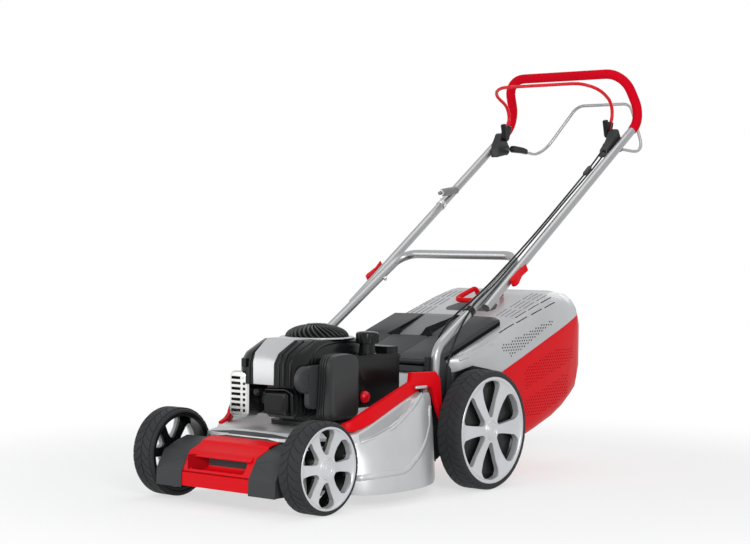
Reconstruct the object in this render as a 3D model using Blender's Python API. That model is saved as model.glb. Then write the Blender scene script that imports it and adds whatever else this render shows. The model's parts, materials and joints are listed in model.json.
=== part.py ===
"""Petrol lawn mower with a rear grass box, modelled in metres.

Z is up, +X is the mower's left side and +Y points to the handle. The origin is the middle of the
outer box, on the ground. Stations (s) are distances behind the front axle.
"""

import math

import bmesh
import bpy
import numpy as np
from mathutils import Matrix, Vector

# Clearance between pieces that touch on the real machine.
GAP = 0.0003

# Wheels.
FRONT_WHEEL_R = 0.100
REAR_WHEEL_R = 0.140
FRONT_TYRE_WIDTH = 0.060
REAR_TYRE_WIDTH = 0.064
BUMPER_HALF = 0.177
FRONT_FACE_X = BUMPER_HALF + 0.0105 + FRONT_TYRE_WIDTH
REAR_FACE_X = 0.2774
WHEELBASE = 0.557
TYRE_DEPTH_SHARE = 0.106
HUB_R = 0.022
WHEEL_SPOKES = 6
WHEEL_SEGMENTS = 28

# Height adjustment: both axles are cranks that swing together.
SWING_ARM = 0.062
SWING_REST_ANGLE = math.radians(25.0)
AXLE_ROD_R = 0.006
DRIVE_SHAFT_R = 0.008
PINION_R = 0.014
RING_GEAR_WALL = 0.005

# Handle tubes and the frame they follow.
TUBE_R = 0.011
TUBE_SIDES = 12
FLAP_HALF = 0.162
CHEEK_INNER_X = FLAP_HALF + 0.0017
CHEEK_OUTER_X = CHEEK_INNER_X + 0.0090
LOWER_TUBE_X = CHEEK_OUTER_X + TUBE_R + GAP
TUBE_FLAT = TUBE_R * math.cos(math.pi / TUBE_SIDES)
UPPER_TUBE_X = LOWER_TUBE_X + 2 * TUBE_FLAT + GAP
HANDLE_SLOPE = 0.688
HANDLE_RISE_AT_AXLE = -0.006
FOLD_STATION = 0.724
UPPER_TUBE_END = 0.622
GRIP_BAR_STATION = 1.272
GRIP_BAR_Z = 1.031
GRIP_KNEE_STATION = 1.338
GRIP_FOAM = 0.0028
CROSSBAR_STATION = 0.800
CROSSBAR_Z = 0.546

# Operating bails.
BAIL_WIRE_R = 0.0045
BRAKE_BAIL_X = LOWER_TUBE_X - 0.018
DRIVE_BAIL_X = LOWER_TUBE_X - 0.034
BRAKE_PIVOT = (1.232, 0.868)
DRIVE_PIVOT = (1.248, 0.836)
BRAKE_BAR = (1.150, 0.998)
DRIVE_BAR = (1.4775, 0.967)
DRIVE_BAR_HALF = 0.070
BRACKET_OUTER_X = UPPER_TUBE_X - TUBE_R - GAP
BRACKET_WIDTH = 0.0235

# Overall length sets where the front axle lies, so that the outer box is centred.
FRONT_AXLE_Y = (FRONT_WHEEL_R - DRIVE_BAR[0] - BAIL_WIRE_R) / 2

# Deck.
DECK_BOTTOM_Z = 0.028
DECK_WALL = 0.0025
PLATE_Z = 0.160
DECK_REAR_S = 0.474
CHUTE_HALF = 0.130
CHUTE_BOTTOM_Z = 0.165
CHUTE_TOP_Z = 0.2485
DECK_COLUMNS = 48
BELT_Z = 0.135

# Engine.
SPINDLE_S = 0.245
CRANK_R = 0.0127
BLADE_Z = 0.044
BLADE_THICKNESS = 0.004
BLADE_HALF = 0.225
CYLINDER_X = 0.028
HOUSING_HALF = 0.095
HOUSING_BOTTOM_Z = 0.258
HOUSING_TOP_Z = 0.357
HOUSING_FRONT_S = 0.066
HOUSING_REAR_S = 0.345
DOME_R = 0.074
DOME_TOP_Z = 0.390
TANK_OUTER_X = 0.135
TANK_BOTTOM_Z = 0.205
TANK_TOP_Z = 0.322
CAP_S = 0.287
CAP_X = 0.1145
CAP_R = 0.0265
FILTER_OUTER_X = 0.158

# Rear frame, flap and grass box.
FRAME_FRONT_S = DECK_REAR_S + GAP
FLAP_PIN = (0.470, 0.296)
FLAP_PIN_R = 0.003
FLAP_THICKNESS = 0.003
FLAP_REAR_S = 0.745
BOX_WALL = 0.003
BOX_FRONT_S = 0.500
BOX_SEAM = (
    (0.450, 0.250), (0.535, 0.262), (0.590, 0.285), (0.640, 0.275),
    (0.695, 0.264), (1.029, 0.3885), (1.200, 0.4523),
)

# Rails and apron.
RAIL_WIDTH = 0.012
APRON_HALF = 0.100
APRON_WALL = 0.003


def at(x, s, z):
    """Point at half-width x, station s behind the front axle and height z."""
    return Vector((x, FRONT_AXLE_Y + s, z))


def swing_pivot(wheel_s, wheel_z):
    """(station, height) of the crank pivot ahead of a wheel centre."""
    return (
        wheel_s - SWING_ARM * math.cos(SWING_REST_ANGLE),
        wheel_z - SWING_ARM * math.sin(SWING_REST_ANGLE),
    )


FRONT_PIVOT = swing_pivot(0.0, FRONT_WHEEL_R)
REAR_PIVOT = swing_pivot(WHEELBASE, REAR_WHEEL_R)


def handle_z(s):
    """Height of the upper tube's centre line at station s."""
    return HANDLE_SLOPE * s + HANDLE_RISE_AT_AXLE


# Scene and materials


def clear_scene():
    for obj in list(bpy.data.objects):
        bpy.data.objects.remove(obj, do_unlink=True)


def material(name, colour, roughness, metallic=0.0):
    found = bpy.data.materials.new(name)
    found.use_nodes = True
    shader = found.node_tree.nodes["Principled BSDF"]
    shader.inputs["Base Color"].default_value = (*colour, 1.0)
    shader.inputs["Roughness"].default_value = roughness
    shader.inputs["Metallic"].default_value = metallic
    return found


clear_scene()
SILVER_PAINT = material("silver_paint", (0.55, 0.56, 0.57), 0.35, 0.6)
RED_PLASTIC = material("red_plastic", (0.72, 0.01, 0.02), 0.35)
DARK_PLASTIC = material("dark_plastic", (0.06, 0.065, 0.07), 0.5)
BLACK_PLASTIC = material("black_plastic", (0.015, 0.015, 0.016), 0.4)
RUBBER = material("rubber", (0.03, 0.03, 0.03), 0.8)
STEEL = material("steel", (0.6, 0.6, 0.6), 0.3, 1.0)
CAST_METAL = material("cast_metal", (0.35, 0.35, 0.36), 0.55, 0.8)
GREY_PLASTIC = material("grey_plastic", (0.3, 0.31, 0.32), 0.5)
FOAM = material("foam", (0.7, 0.01, 0.03), 0.7)


# Modelling helpers


def make(name, bm, finish, pivot=None, smooth_angle=None):
    """An object from a bmesh. A pivot puts its origin on a joint's axis."""
    bmesh.ops.recalc_face_normals(bm, faces=bm.faces)
    mesh = bpy.data.meshes.new(name)
    bm.to_mesh(mesh)
    bm.free()
    mesh.materials.append(finish)
    obj = bpy.data.objects.new(name, mesh)
    bpy.context.scene.collection.objects.link(obj)
    if pivot is not None:
        mesh.transform(Matrix.Translation(-pivot))
        obj.location = pivot
    if smooth_angle is not None:
        mesh.shade_smooth()
        mesh.set_sharp_from_angle(angle=math.radians(smooth_angle))
    return obj


def loft(rings, bm=None, closed=False, caps=True):
    """Faces between rings of equally many points, in a new or a given bmesh."""
    bm = bm or bmesh.new()
    rows = [[bm.verts.new(p) for p in ring] for ring in rings]
    count = len(rows[0])
    pairs = list(zip(rows, rows[1:]))
    if closed:
        pairs.append((rows[-1], rows[0]))
    for first, second in pairs:
        for i in range(count):
            j = (i + 1) % count
            bm.faces.new((first[i], first[j], second[j], second[i]))
    if caps and not closed:
        bm.faces.new(list(reversed(rows[0])))
        bm.faces.new(rows[-1])
    return bm


def side_prism(outline, x_low, x_high, bm=None):
    """A side-view outline of (station, height) pairs, carried across X."""
    rings = [[at(x, s, z) for s, z in outline] for x in (x_low, x_high)]
    return loft(rings, bm)


def plan_prism(outline, z_low, z_high, bm=None):
    """A plan outline of (x, station) pairs, carried up Z."""
    rings = [[at(x, s, z) for x, s in outline] for z in (z_low, z_high)]
    return loft(rings, bm)


def front_prism(outline, s_low, s_high, bm=None):
    """A front-view outline of (x, height) pairs, carried along the mower."""
    rings = [[at(x, s, z) for x, z in outline] for s in (s_low, s_high)]
    return loft(rings, bm)


def block(x_low, x_high, s_low, s_high, z_low, z_high, bm=None):
    corners = [(s_low, z_low), (s_high, z_low), (s_high, z_high), (s_low, z_high)]
    return side_prism(corners, x_low, x_high, bm)


def circle(centre, radius, across, up, count, phase=0.5):
    """Points of a circle whose flats, not corners, face the two directions."""
    points = []
    for i in range(count):
        angle = 2 * math.pi * (i + phase) / count
        points.append(centre + (across * math.cos(angle) + up * math.sin(angle)) * radius)
    return points


X_AXIS, Y_AXIS, Z_AXIS = Vector((1, 0, 0)), Vector((0, 1, 0)), Vector((0, 0, 1))
FRAMES = {"x": (X_AXIS, Y_AXIS, Z_AXIS), "y": (Y_AXIS, Z_AXIS, X_AXIS), "z": (Z_AXIS, X_AXIS, Y_AXIS)}


def frame_about(axis):
    """A direction and two square to it, from a letter or from the direction itself."""
    if isinstance(axis, str):
        return FRAMES[axis]
    across = axis.orthogonal().normalized()
    return axis, across, axis.cross(across)


def turned(profile, centre, axis, count, closed=False, bm=None):
    """A solid turned from (distance along the axis, radius) pairs."""
    along, across, up = frame_about(axis)
    rings = [circle(centre + along * a, r, across, up, count) for a, r in profile]
    return loft(rings, bm, closed=closed)


def rounded_path(corners, radii, steps=5):
    """Straight runs between corners, with an arc of the given radius at each inner corner."""
    points = [corners[0]]
    for before, corner, after, radius in zip(corners, corners[1:], corners[2:], radii):
        entry = (before - corner).normalized()
        leave = (after - corner).normalized()
        half = entry.angle(leave) / 2
        centre = corner + (entry + leave).normalized() * (radius / math.sin(half))
        start = (corner + entry * (radius / math.tan(half)) - centre).normalized()
        end = (corner + leave * (radius / math.tan(half)) - centre).normalized()
        for i in range(steps + 1):
            points.append(centre + start.slerp(end, i / steps) * radius)
    points.append(corners[-1])
    return points


def smooth_path(corners, per_run=3):
    """A Catmull-Rom curve through hand-chosen points."""
    ends = [corners[0] * 2 - corners[1], *corners, corners[-1] * 2 - corners[-2]]
    points = []
    for a, b, c, d in zip(ends, ends[1:], ends[2:], ends[3:]):
        for i in range(per_run):
            t = i / per_run
            points.append(
                (b * 2 + (c - a) * t + (a * 2 - b * 5 + c * 4 - d) * t**2 + (b * 3 - a - c * 3 + d) * t**3) / 2
            )
    return [*points, corners[-1]]


def sweep_rings(path, radius, sides):
    """Circles square to the path, turned as little as possible from one to the next."""
    rings = []
    tangent = (path[1] - path[0]).normalized()
    across = X_AXIS if abs(tangent.x) < 0.9 else Z_AXIS
    for i, point in enumerate(path):
        before = path[max(i - 1, 0)]
        after = path[min(i + 1, len(path) - 1)]
        heading = (after - before).normalized()
        across = (tangent.rotation_difference(heading) @ across).normalized()
        tangent = heading
        across = (across - heading * across.dot(heading)).normalized()
        rings.append(circle(point, radius, across, heading.cross(across), sides))
    return rings


def rod(path, radius, sides=TUBE_SIDES, bm=None):
    return loft(sweep_rings(path, radius, sides), bm)


def sleeve(path, outer, inner, sides=TUBE_SIDES):
    """A tube with a bore, round a rod that runs along the same path."""
    outside = sweep_rings(path, outer, sides)
    inside = sweep_rings(path, inner, sides)
    return loft(outside + inside[::-1], closed=True)


def combine(obj, operation, bm, name):
    """A Boolean modifier with its hidden helper."""
    helper = make(name, bm, obj.data.materials[0])
    helper.hide_render = True
    helper.display_type = "WIRE"
    modifier = obj.modifiers.new(name, "BOOLEAN")
    modifier.operation = operation
    modifier.solver = "EXACT"
    modifier.object = helper
    return obj


def add(obj, bm, name):
    return combine(obj, "UNION", bm, f"{obj.name}_{name}")


def cut(obj, bm, name):
    return combine(obj, "DIFFERENCE", bm, f"{obj.name}_{name}")


def bevel(obj, width, segments=1, angle=40.0):
    modifier = obj.modifiers.new("bevel", "BEVEL")
    modifier.width = width
    modifier.segments = segments
    modifier.limit_method = "ANGLE"
    modifier.angle_limit = math.radians(angle)
    return obj


def thicken(obj, thickness):
    modifier = obj.modifiers.new("wall", "SOLIDIFY")
    modifier.thickness = thickness
    modifier.offset = -1
    return obj


def offset_outline(outline, distance):
    """A closed outline moved inwards by a distance, for the inner face of a wall."""
    area = sum(a[0] * b[1] - b[0] * a[1] for a, b in zip(outline, outline[1:] + outline[:1]))
    turn = 1 if area > 0 else -1
    moved = []
    for i, point in enumerate(outline):
        here = Vector(point)
        along = (here - Vector(outline[i - 1])).normalized()
        onward = (Vector(outline[(i + 1) % len(outline)]) - here).normalized()
        normal_in = Vector((-along.y, along.x)) * turn
        normal_on = Vector((-onward.y, onward.x)) * turn
        middle = (normal_in + normal_on).normalized()
        moved.append(tuple(here + middle * (distance / max(middle.dot(normal_in), 0.3))))
    return moved


def rounded_rectangle(u_low, u_high, v_low, v_high, radius, steps=3):
    """Counter-clockwise outline with arcs at its corners."""
    centres = [
        (u_high - radius, v_high - radius, 0),
        (u_low + radius, v_high - radius, 90),
        (u_low + radius, v_low + radius, 180),
        (u_high - radius, v_low + radius, 270),
    ]
    points = []
    for u, v, start in centres:
        for i in range(steps + 1):
            angle = math.radians(start + 90 * i / steps)
            points.append((u + radius * math.cos(angle), v + radius * math.sin(angle)))
    return points


# Deck

BOTTOM_PLAN = (
    (-0.010, 0.0), (-0.010, 0.100), (0.004, 0.145), (0.040, 0.168), (0.103, 0.176), (0.122, 0.218),
    (0.138, 0.243), (0.185, 0.258), (0.245, 0.262), (0.320, 0.254), (0.385, 0.232), (0.415, 0.210), (0.440, 0.198),
    (0.462, 0.178), (DECK_REAR_S, 0.150), (DECK_REAR_S, 0.0),
)
RIDGE_PLAN = (
    (0.004, 0.0), (0.006, 0.100), (0.018, 0.140), (0.045, 0.160), (0.096, 0.172), (0.120, 0.196),
    (0.150, 0.212), (0.200, 0.219), (0.245, 0.2215), (0.320, 0.221), (0.380, 0.219), (0.405, 0.207),
    (0.440, 0.182), (0.462, 0.164), (DECK_REAR_S, 0.148), (DECK_REAR_S, 0.0),
)
WALL_PLAN = (
    (0.010, 0.0), (0.012, 0.100), (0.024, 0.134), (0.050, 0.152), (0.088, 0.165), (0.112, 0.186),
    (0.140, 0.2025), (0.170, 0.2065), (0.340, 0.2065), (0.400, 0.198), (0.435, 0.176), (0.458, 0.155),
    (DECK_REAR_S, 0.140), (DECK_REAR_S, 0.0),
)
RIDGE_HEIGHTS = (
    (0.0, 0.128), (0.116, 0.136), (0.194, 0.147), (0.242, 0.161), (0.290, 0.187), (0.314, 0.213),
    (0.335, 0.234), (0.360, 0.2390), (0.385, 0.2370), (0.410, 0.222), (0.440, 0.208), (0.474, 0.200),
)
WALL_HEIGHTS = (
    (0.0, 0.150), (0.103, 0.150), (0.142, 0.1576), (0.344, 0.2364), (0.410, 0.2462), (0.474, 0.250),
)
REAR_CENTRE_HALF = 0.140
REAR_CENTRE_Z = 0.272
DECK_MOUTH_Z = 0.042


def along(table, s):
    return float(np.interp(s, [row[0] for row in table], [row[1] for row in table]))


def plan_radius(plan, angle):
    """Distance from the spindle to the half plan in a direction, front at -90 degrees."""
    angles = [math.atan2(s - SPINDLE_S, x) for s, x in plan]
    i = min(max(int(np.searchsorted(angles, angle)), 1), len(plan) - 1)
    (s0, x0), (s1, x1) = plan[i - 1], plan[i]
    run, rise = x1 - x0, s1 - s0
    # Where the ray from the spindle meets this edge of the plan.
    return (x0 * rise - (s0 - SPINDLE_S) * run) / (math.cos(angle) * rise - math.sin(angle) * run)


def deck_point(plan, angle):
    mirrored = math.atan2(math.sin(angle), abs(math.cos(angle)))
    radius = plan_radius(plan, mirrored)
    return radius * math.cos(angle), SPINDLE_S + radius * math.sin(angle)


def blend(a, b, share):
    return a + (b - a) * share


def rear_share(x, s):
    """1 on the flat rear wall, 0 on the sides, smooth between them."""
    if s < 0.36:
        return 0.0
    share = min(max((0.176 - abs(x)) / (0.176 - REAR_CENTRE_HALF), 0.0), 1.0)
    return share * share * (3 - 2 * share)


def deck_column(angle):
    """Points of the pressed shell from its rim to the engine hole, in one direction."""
    bottom = deck_point(BOTTOM_PLAN, angle)
    ridge = deck_point(RIDGE_PLAN, angle)
    wall = deck_point(WALL_PLAN, angle)
    share = rear_share(*wall)
    ridge_z = blend(along(RIDGE_HEIGHTS, ridge[1]), REAR_CENTRE_Z - 0.030, share)
    wall_z = blend(along(WALL_HEIGHTS, wall[1]), REAR_CENTRE_Z, share)
    hub = (0.0, SPINDLE_S)

    def between(a, b, t):
        return blend(a[0], b[0], t), blend(a[1], b[1], t)

    top_inner = between(wall, hub, 0.055)
    inner_foot = between(wall, hub, 0.105)
    foot_z = blend(max(PLATE_Z, wall_z - 0.032), REAR_CENTRE_Z - 0.006, share)
    plate = between(wall, hub, blend(0.45, 0.32, share))
    hole = (0.045 * math.cos(angle), SPINDLE_S + 0.045 * math.sin(angle))
    rows = (
        (*bottom, DECK_BOTTOM_Z),
        (*bottom, DECK_MOUTH_Z),
        (*between(bottom, ridge, 0.42), blend(DECK_MOUTH_Z, ridge_z, 0.62)),
        (*ridge, ridge_z),
        (*between(ridge, wall, 0.58), blend(ridge_z, wall_z, 0.12)),
        (*wall, wall_z),
        (*top_inner, blend(along(WALL_HEIGHTS, top_inner[1]), REAR_CENTRE_Z, share)),
        (*inner_foot, foot_z),
        (*plate, PLATE_Z),
        (*hole, PLATE_Z),
    )
    return [at(x, s, z) for x, s, z in rows]


def deck_shell():
    columns = [deck_column(2 * math.pi * (i + 0.5) / DECK_COLUMNS) for i in range(DECK_COLUMNS)]
    rings = [list(ring) for ring in zip(*columns)]
    deck = make("deck_shell", loft(rings, caps=False), SILVER_PAINT, smooth_angle=50)
    thicken(deck, DECK_WALL)
    opening = block(-CHUTE_HALF, CHUTE_HALF, 0.4570, 0.500, CHUTE_BOTTOM_Z, CHUTE_TOP_Z)
    cut(deck, opening, "chute")
    belt_slot = block(-0.050, 0.050, 0.4570, 0.500, BELT_Z - 0.010, BELT_Z + 0.010)
    cut(deck, belt_slot, "belt_slot")
    button_hole = turned([(-0.030, 0.0050), (0.030, 0.0050)], BUTTON_CENTRE, "z", 12)
    cut(deck, button_hole, "button_hole")


# Apron, bumper and rails

APRON_FACE = ((-0.090, 0.042), (-0.0885, 0.074), (-0.086, 0.078), (-0.066, 0.114), (-0.030, 0.131))
APRON_PLATE = ((-0.026, 0.1345), (0.0078, 0.1450))
RAIL_STATIONS = (
    # station, top, bottom, outer face; the nose turns in round the deck's front corner
    (0.1040, 0.1620, 0.1565, 0.1760), (0.1220, 0.1690, 0.1612, 0.1770), (0.1360, 0.1800, 0.1615, 0.1790),
    (0.1500, 0.1870, 0.1620, 0.1900), (0.1700, 0.2017, 0.1694, 0.2000), (0.2000, 0.2170, 0.1814, 0.2085),
    (0.3290, 0.2620, 0.2316, 0.2085), (0.3330, 0.2830, 0.2332, 0.2085), (0.3440, 0.2828, 0.2375, 0.2085),
    (0.4080, 0.2814, 0.2475, 0.2085), (0.4240, 0.2810, 0.2150, 0.2085), (0.4400, 0.2650, 0.1824, 0.2085),
    (0.4515, 0.1625, 0.1590, 0.2085),
)


def shell_profile(path, wall):
    """Closed profile of a wall of even thickness along an open path."""
    inner = []
    for i, point in enumerate(path):
        before = Vector(path[max(i - 1, 0)])
        after = Vector(path[min(i + 1, len(path) - 1)])
        heading = (after - before).normalized()
        inner.append((point[0] + heading.y * wall, point[1] - heading.x * wall))
    return list(path) + inner[::-1]


def front_apron():
    apron = make(
        "front_apron",
        side_prism(shell_profile(APRON_FACE + APRON_PLATE, APRON_WALL), -APRON_HALF + GAP, APRON_HALF - GAP),
        RED_PLASTIC,
    )
    slot = rounded_rectangle(-0.080, 0.080, 0.0830, 0.1055, 0.010)
    cut(apron, front_prism(slot, -0.100, -0.055), "slot")
    # The scoop under the slot is the lower half of the carrying handle.
    scoop = ((-0.0850, 0.0810), (-0.0790, 0.0765), (-0.0700, 0.0765), (-0.0645, 0.0830), (-0.0640, 0.0940))
    add(apron, side_prism(shell_profile(scoop, -APRON_WALL), -0.084, 0.084), "scoop")


def front_bumper():
    profile = shell_profile(
        ((-0.0925, 0.038), (-0.0910, 0.074), (-0.0885, 0.078), (-0.0680, 0.1125), (-0.0300, 0.1300), (0.0040, 0.1400)),
        APRON_WALL,
    )
    bumper = make("front_bumper", side_prism(profile, APRON_HALF, BUMPER_HALF), DARK_PLASTIC)
    add(bumper, side_prism(profile, -BUMPER_HALF, -APRON_HALF), "right")
    end = (
        (-0.0900, 0.039), (-0.0885, 0.074), (-0.0660, 0.1110), (-0.0300, 0.1280), (-0.0300, 0.0500), (-0.0600, 0.0390),
    )
    add(bumper, side_prism(end, BUMPER_HALF - APRON_WALL, BUMPER_HALF), "left_end")
    add(bumper, side_prism(end, -BUMPER_HALF, -BUMPER_HALF + APRON_WALL), "right_end")
    beam = ((-0.0340, 0.0550), (-0.0310, 0.0550), (-0.0310, 0.0950), (-0.0340, 0.0950))
    add(bumper, side_prism(beam, -BUMPER_HALF, BUMPER_HALF), "beam")
    hole = turned([(-BUMPER_HALF - 0.01, AXLE_ROD_R + GAP), (BUMPER_HALF + 0.01, AXLE_ROD_R + GAP)],
                  at(0, *FRONT_PIVOT), "x", 16)
    cut(bumper, hole, "axle_hole")


def side_rails():
    for side, name in ((1, "side_rail_left"), (-1, "side_rail_right")):
        rings = []
        for s, top, bottom, outer in RAIL_STATIONS:
            inner = outer - RAIL_WIDTH
            corners = ((outer, top), (outer, bottom), (inner, bottom), (inner, top))
            rings.append([at(side * x, s, z) for x, z in corners])
        bevel(make(name, loft(rings), RED_PLASTIC), 0.0012)


# Running gear


def front_axle():
    wheel_x = FRONT_FACE_X - 0.012
    arm_x = BUMPER_HALF + AXLE_ROD_R + 0.0005
    s, z = FRONT_PIVOT
    corners = [
        at(-wheel_x, 0, FRONT_WHEEL_R), at(-arm_x, 0, FRONT_WHEEL_R), at(-arm_x, s, z),
        at(arm_x, s, z), at(arm_x, 0, FRONT_WHEEL_R), at(wheel_x, 0, FRONT_WHEEL_R),
    ]
    path = rounded_path(corners, [0.0068] * 4, steps=3)
    make("front_axle", rod(path, AXLE_ROD_R, 10), STEEL, pivot=at(0, s, z), smooth_angle=40)


ARM_INNER_X = 0.1960
ARM_OUTER_X = 0.2040


def rear_axle():
    s, z = REAR_PIVOT
    pivot = at(0, s, z)
    steps = 5
    outline = []
    for centre, start in (((s, z), 115), ((WHEELBASE, REAR_WHEEL_R), -65)):
        for i in range(steps + 1):
            angle = math.radians(start + 180 * i / steps)
            outline.append((centre[0] + 0.013 * math.cos(angle), centre[1] + 0.013 * math.sin(angle)))
    axle = make("rear_axle", side_prism(outline, ARM_INNER_X, ARM_OUTER_X), STEEL, pivot=pivot)
    add(axle, side_prism(outline, -ARM_OUTER_X, -ARM_INNER_X), "right_arm")
    hub = at(0, WHEELBASE, REAR_WHEEL_R)
    stub_end = REAR_FACE_X - 0.012
    stub_start = ARM_INNER_X + 0.002
    for name, low, high in (("left_stub", stub_start, stub_end), ("right_stub", -stub_end, -stub_start)):
        add(axle, turned([(low, AXLE_ROD_R), (high, AXLE_ROD_R)], hub, "x", 16), name)
    tie = at(0, s + 0.042, z - 0.019)
    lug = ((s, z - 0.004), (s + 0.042, z - 0.026), (s + 0.050, z - 0.019), (s + 0.030, z + 0.010))
    add(axle, turned([(-ARM_INNER_X - 0.004, 0.006), (ARM_INNER_X + 0.004, 0.006)], tie, "x", 12), "tie")
    add(axle, side_prism(lug, ARM_INNER_X + 0.001, ARM_OUTER_X - 0.001), "left_lug")
    add(axle, side_prism(lug, -ARM_OUTER_X + 0.001, -ARM_INNER_X - 0.001), "right_lug")
    bore = DRIVE_SHAFT_R + GAP
    cut(axle, turned([(-0.230, bore), (0.230, bore)], pivot, "x", 16), "bore")


def drive_shaft():
    start = REAR_FACE_X - REAR_TYRE_WIDTH + 0.0030
    profile = [
        (-start - 0.010, PINION_R), (-start, PINION_R), (-start, DRIVE_SHAFT_R),
        (start, DRIVE_SHAFT_R), (start, PINION_R), (start + 0.010, PINION_R),
    ]
    centre = at(0, *REAR_PIVOT)
    make("drive_shaft", turned(profile, centre, "x", 16), STEEL, pivot=centre, smooth_angle=40)


def gearbox():
    s, z = REAR_PIVOT
    outline = rounded_rectangle(FRAME_FRONT_S + 0.004 + GAP, s + 0.027, 0.0890, BELT_Z - 0.0125, 0.010)
    case = make("gearbox", side_prism(outline, -0.045, 0.045), CAST_METAL)
    bore = DRIVE_SHAFT_R + GAP
    cut(case, turned([(-0.060, bore), (0.060, bore)], at(0, s, z), "x", 16), "bore")


GEAR_PULLEY_R = 0.030
BOSS_PULLEY_R = 0.022
BELT_DEPTH = 0.008


def groove_profile(radius):
    """A V-groove pulley rim about the belt's plane."""
    return [(-0.007, radius + 0.004), (-0.0058, radius + 0.004), (-0.0025, radius - 0.004),
            (0.0025, radius - 0.004), (0.0058, radius + 0.004), (0.007, radius + 0.004)]


GEAR_PULLEY_S = FRAME_FRONT_S + 0.043


def gearbox_pulley():
    centre = at(0, GEAR_PULLEY_S, BELT_Z)
    profile = [(-0.0122, 0.008), (-0.007, 0.008), *groove_profile(GEAR_PULLEY_R)]
    make("gearbox_pulley", turned(profile, centre, "z", 16), STEEL, pivot=centre, smooth_angle=40)


def v_belt():
    """The loop runs in both grooves, tangent to the two pulleys."""
    rings = []
    near = Vector((0.0, SPINDLE_S))
    far = Vector((0.0, GEAR_PULLEY_S))
    lean = math.asin((GEAR_PULLEY_R - BOSS_PULLEY_R) / (far - near).length)
    centre_line = []
    for centre, radius, start, end in (
        (far, GEAR_PULLEY_R, -lean, math.pi + lean),
        (near, BOSS_PULLEY_R, math.pi + lean, 2 * math.pi - lean),
    ):
        for i in range(11):
            angle = blend(start, end, i / 10)
            centre_line.append((centre, radius, angle))
    for centre, radius, angle in centre_line:
        outward = Vector((math.cos(angle), math.sin(angle)))
        section = []
        for depth, rise in ((BELT_DEPTH / 2 + 0.0005, 0.0050), (-BELT_DEPTH / 2 + 0.0005, 0.0020),
                            (-BELT_DEPTH / 2 + 0.0005, -0.0020), (BELT_DEPTH / 2 + 0.0005, -0.0050)):
            place = centre + outward * (radius + depth)
            section.append(at(place.x, place.y, BELT_Z + rise))
        rings.append(section)
    make("v_belt", loft(rings, closed=True), RUBBER)


def tyre(name, radius, width, face_x, s, side):
    """Tyre with rounded shoulders and a bead that grips the rim, outer face at face_x."""
    lip = radius * (1 - TYRE_DEPTH_SHARE)
    shoulder = 0.008
    profile = [
        (0.0, lip + GAP), (0.0, radius - 0.005), (-shoulder, radius), (-width + shoulder, radius),
        (-width, radius - 0.005), (-width, lip + GAP),
    ]
    wheel = turned(wheel_points(profile, side), at(side * face_x, s, radius), "x", WHEEL_SEGMENTS, closed=True)
    make(name, wheel, RUBBER, pivot=at(0, s, radius), smooth_angle=35)


def wheel_points(profile, side):
    """The profile on its side of the mower, so that flats, not corners, lie at each radius."""
    stretch = 1 / math.cos(math.pi / WHEEL_SEGMENTS)
    return [(side * a, r * stretch) for a, r in profile]


def spoke_windows(centre, inner, outer, x_low, x_high):
    """Six rounded openings between the spokes, as one cutter."""
    bm = bmesh.new()
    pitch = 2 * math.pi / WHEEL_SPOKES
    edge = ((inner, 0.13), (inner + 0.30 * (outer - inner), 0.26), (outer - 0.004, 0.27), (outer, 0.17))
    for i in range(WHEEL_SPOKES):
        middle = pitch * (i + 0.5)
        outline = []
        for radius, half in edge:
            outline.append((radius, -half))
        for radius, half in edge[::-1]:
            outline.append((radius, half))
        rings = []
        for x in (x_low, x_high):
            rings.append([
                centre + Vector((x, r * math.cos(middle + a), r * math.sin(middle + a))) for r, a in outline
            ])
        loft(rings, bm)
    return bm


def rim(name, radius, width, face_x, s, side, ring_gear):
    """Dished disc wheel with six spokes, a barrel and a hub that is bored from the inner side."""
    lip = radius * (1 - TYRE_DEPTH_SHARE)
    barrel = lip - 0.008
    depth = 0.010
    bore_r = AXLE_ROD_R + GAP
    front = [
        (-0.0015, HUB_R - 0.005), (-0.0060, HUB_R + 0.004), (-0.0080, barrel * 0.72), (0.0, lip - 0.004), (0.0, lip),
    ]
    back = [(-width + 0.002, lip), (-width + 0.002, barrel), (-depth - 0.004, barrel - 0.0015)]
    if ring_gear:
        inner = SWING_ARM + PINION_R + 0.001
        back += [
            (-depth - 0.0045, inner + RING_GEAR_WALL), (-width + 0.0025, inner + RING_GEAR_WALL),
            (-width + 0.0025, inner), (-depth - 0.0060, inner),
        ]
    hub = [
        (-depth - 0.008, HUB_R + 0.004), (-depth - 0.010, HUB_R), (-width + 0.004, HUB_R - 0.004),
        (-width + 0.004, bore_r), (-0.0085, bore_r),
    ]
    centre = at(side * face_x, s, radius)
    points = wheel_points(front + back + hub, side)
    body = turned(points, centre, "x", WHEEL_SEGMENTS)
    wheel = make(name, body, SILVER_PAINT, pivot=at(0, s, radius), smooth_angle=35)
    edges = sorted((side * 0.004, -side * (depth + 0.0125)))
    outer = SWING_ARM + PINION_R - 0.001 if ring_gear else barrel - 0.006
    bm = spoke_windows(centre, HUB_R + 0.008, outer, *edges)
    cut(wheel, bm, "windows")


def wheels():
    for side, hand in ((1, "left"), (-1, "right")):
        tyre(f"tyre_front_{hand}", FRONT_WHEEL_R, FRONT_TYRE_WIDTH, FRONT_FACE_X, 0.0, side)
        rim(f"rim_front_{hand}", FRONT_WHEEL_R, FRONT_TYRE_WIDTH, FRONT_FACE_X, 0.0, side, False)
        tyre(f"tyre_rear_{hand}", REAR_WHEEL_R, REAR_TYRE_WIDTH, REAR_FACE_X, WHEELBASE, side)
        rim(f"rim_rear_{hand}", REAR_WHEEL_R, REAR_TYRE_WIDTH, REAR_FACE_X, WHEELBASE, side, True)


BUTTON_CENTRE = at(0.2150, 0.358, 0.2450)
BUTTON_TRAVEL = 0.004


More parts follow.
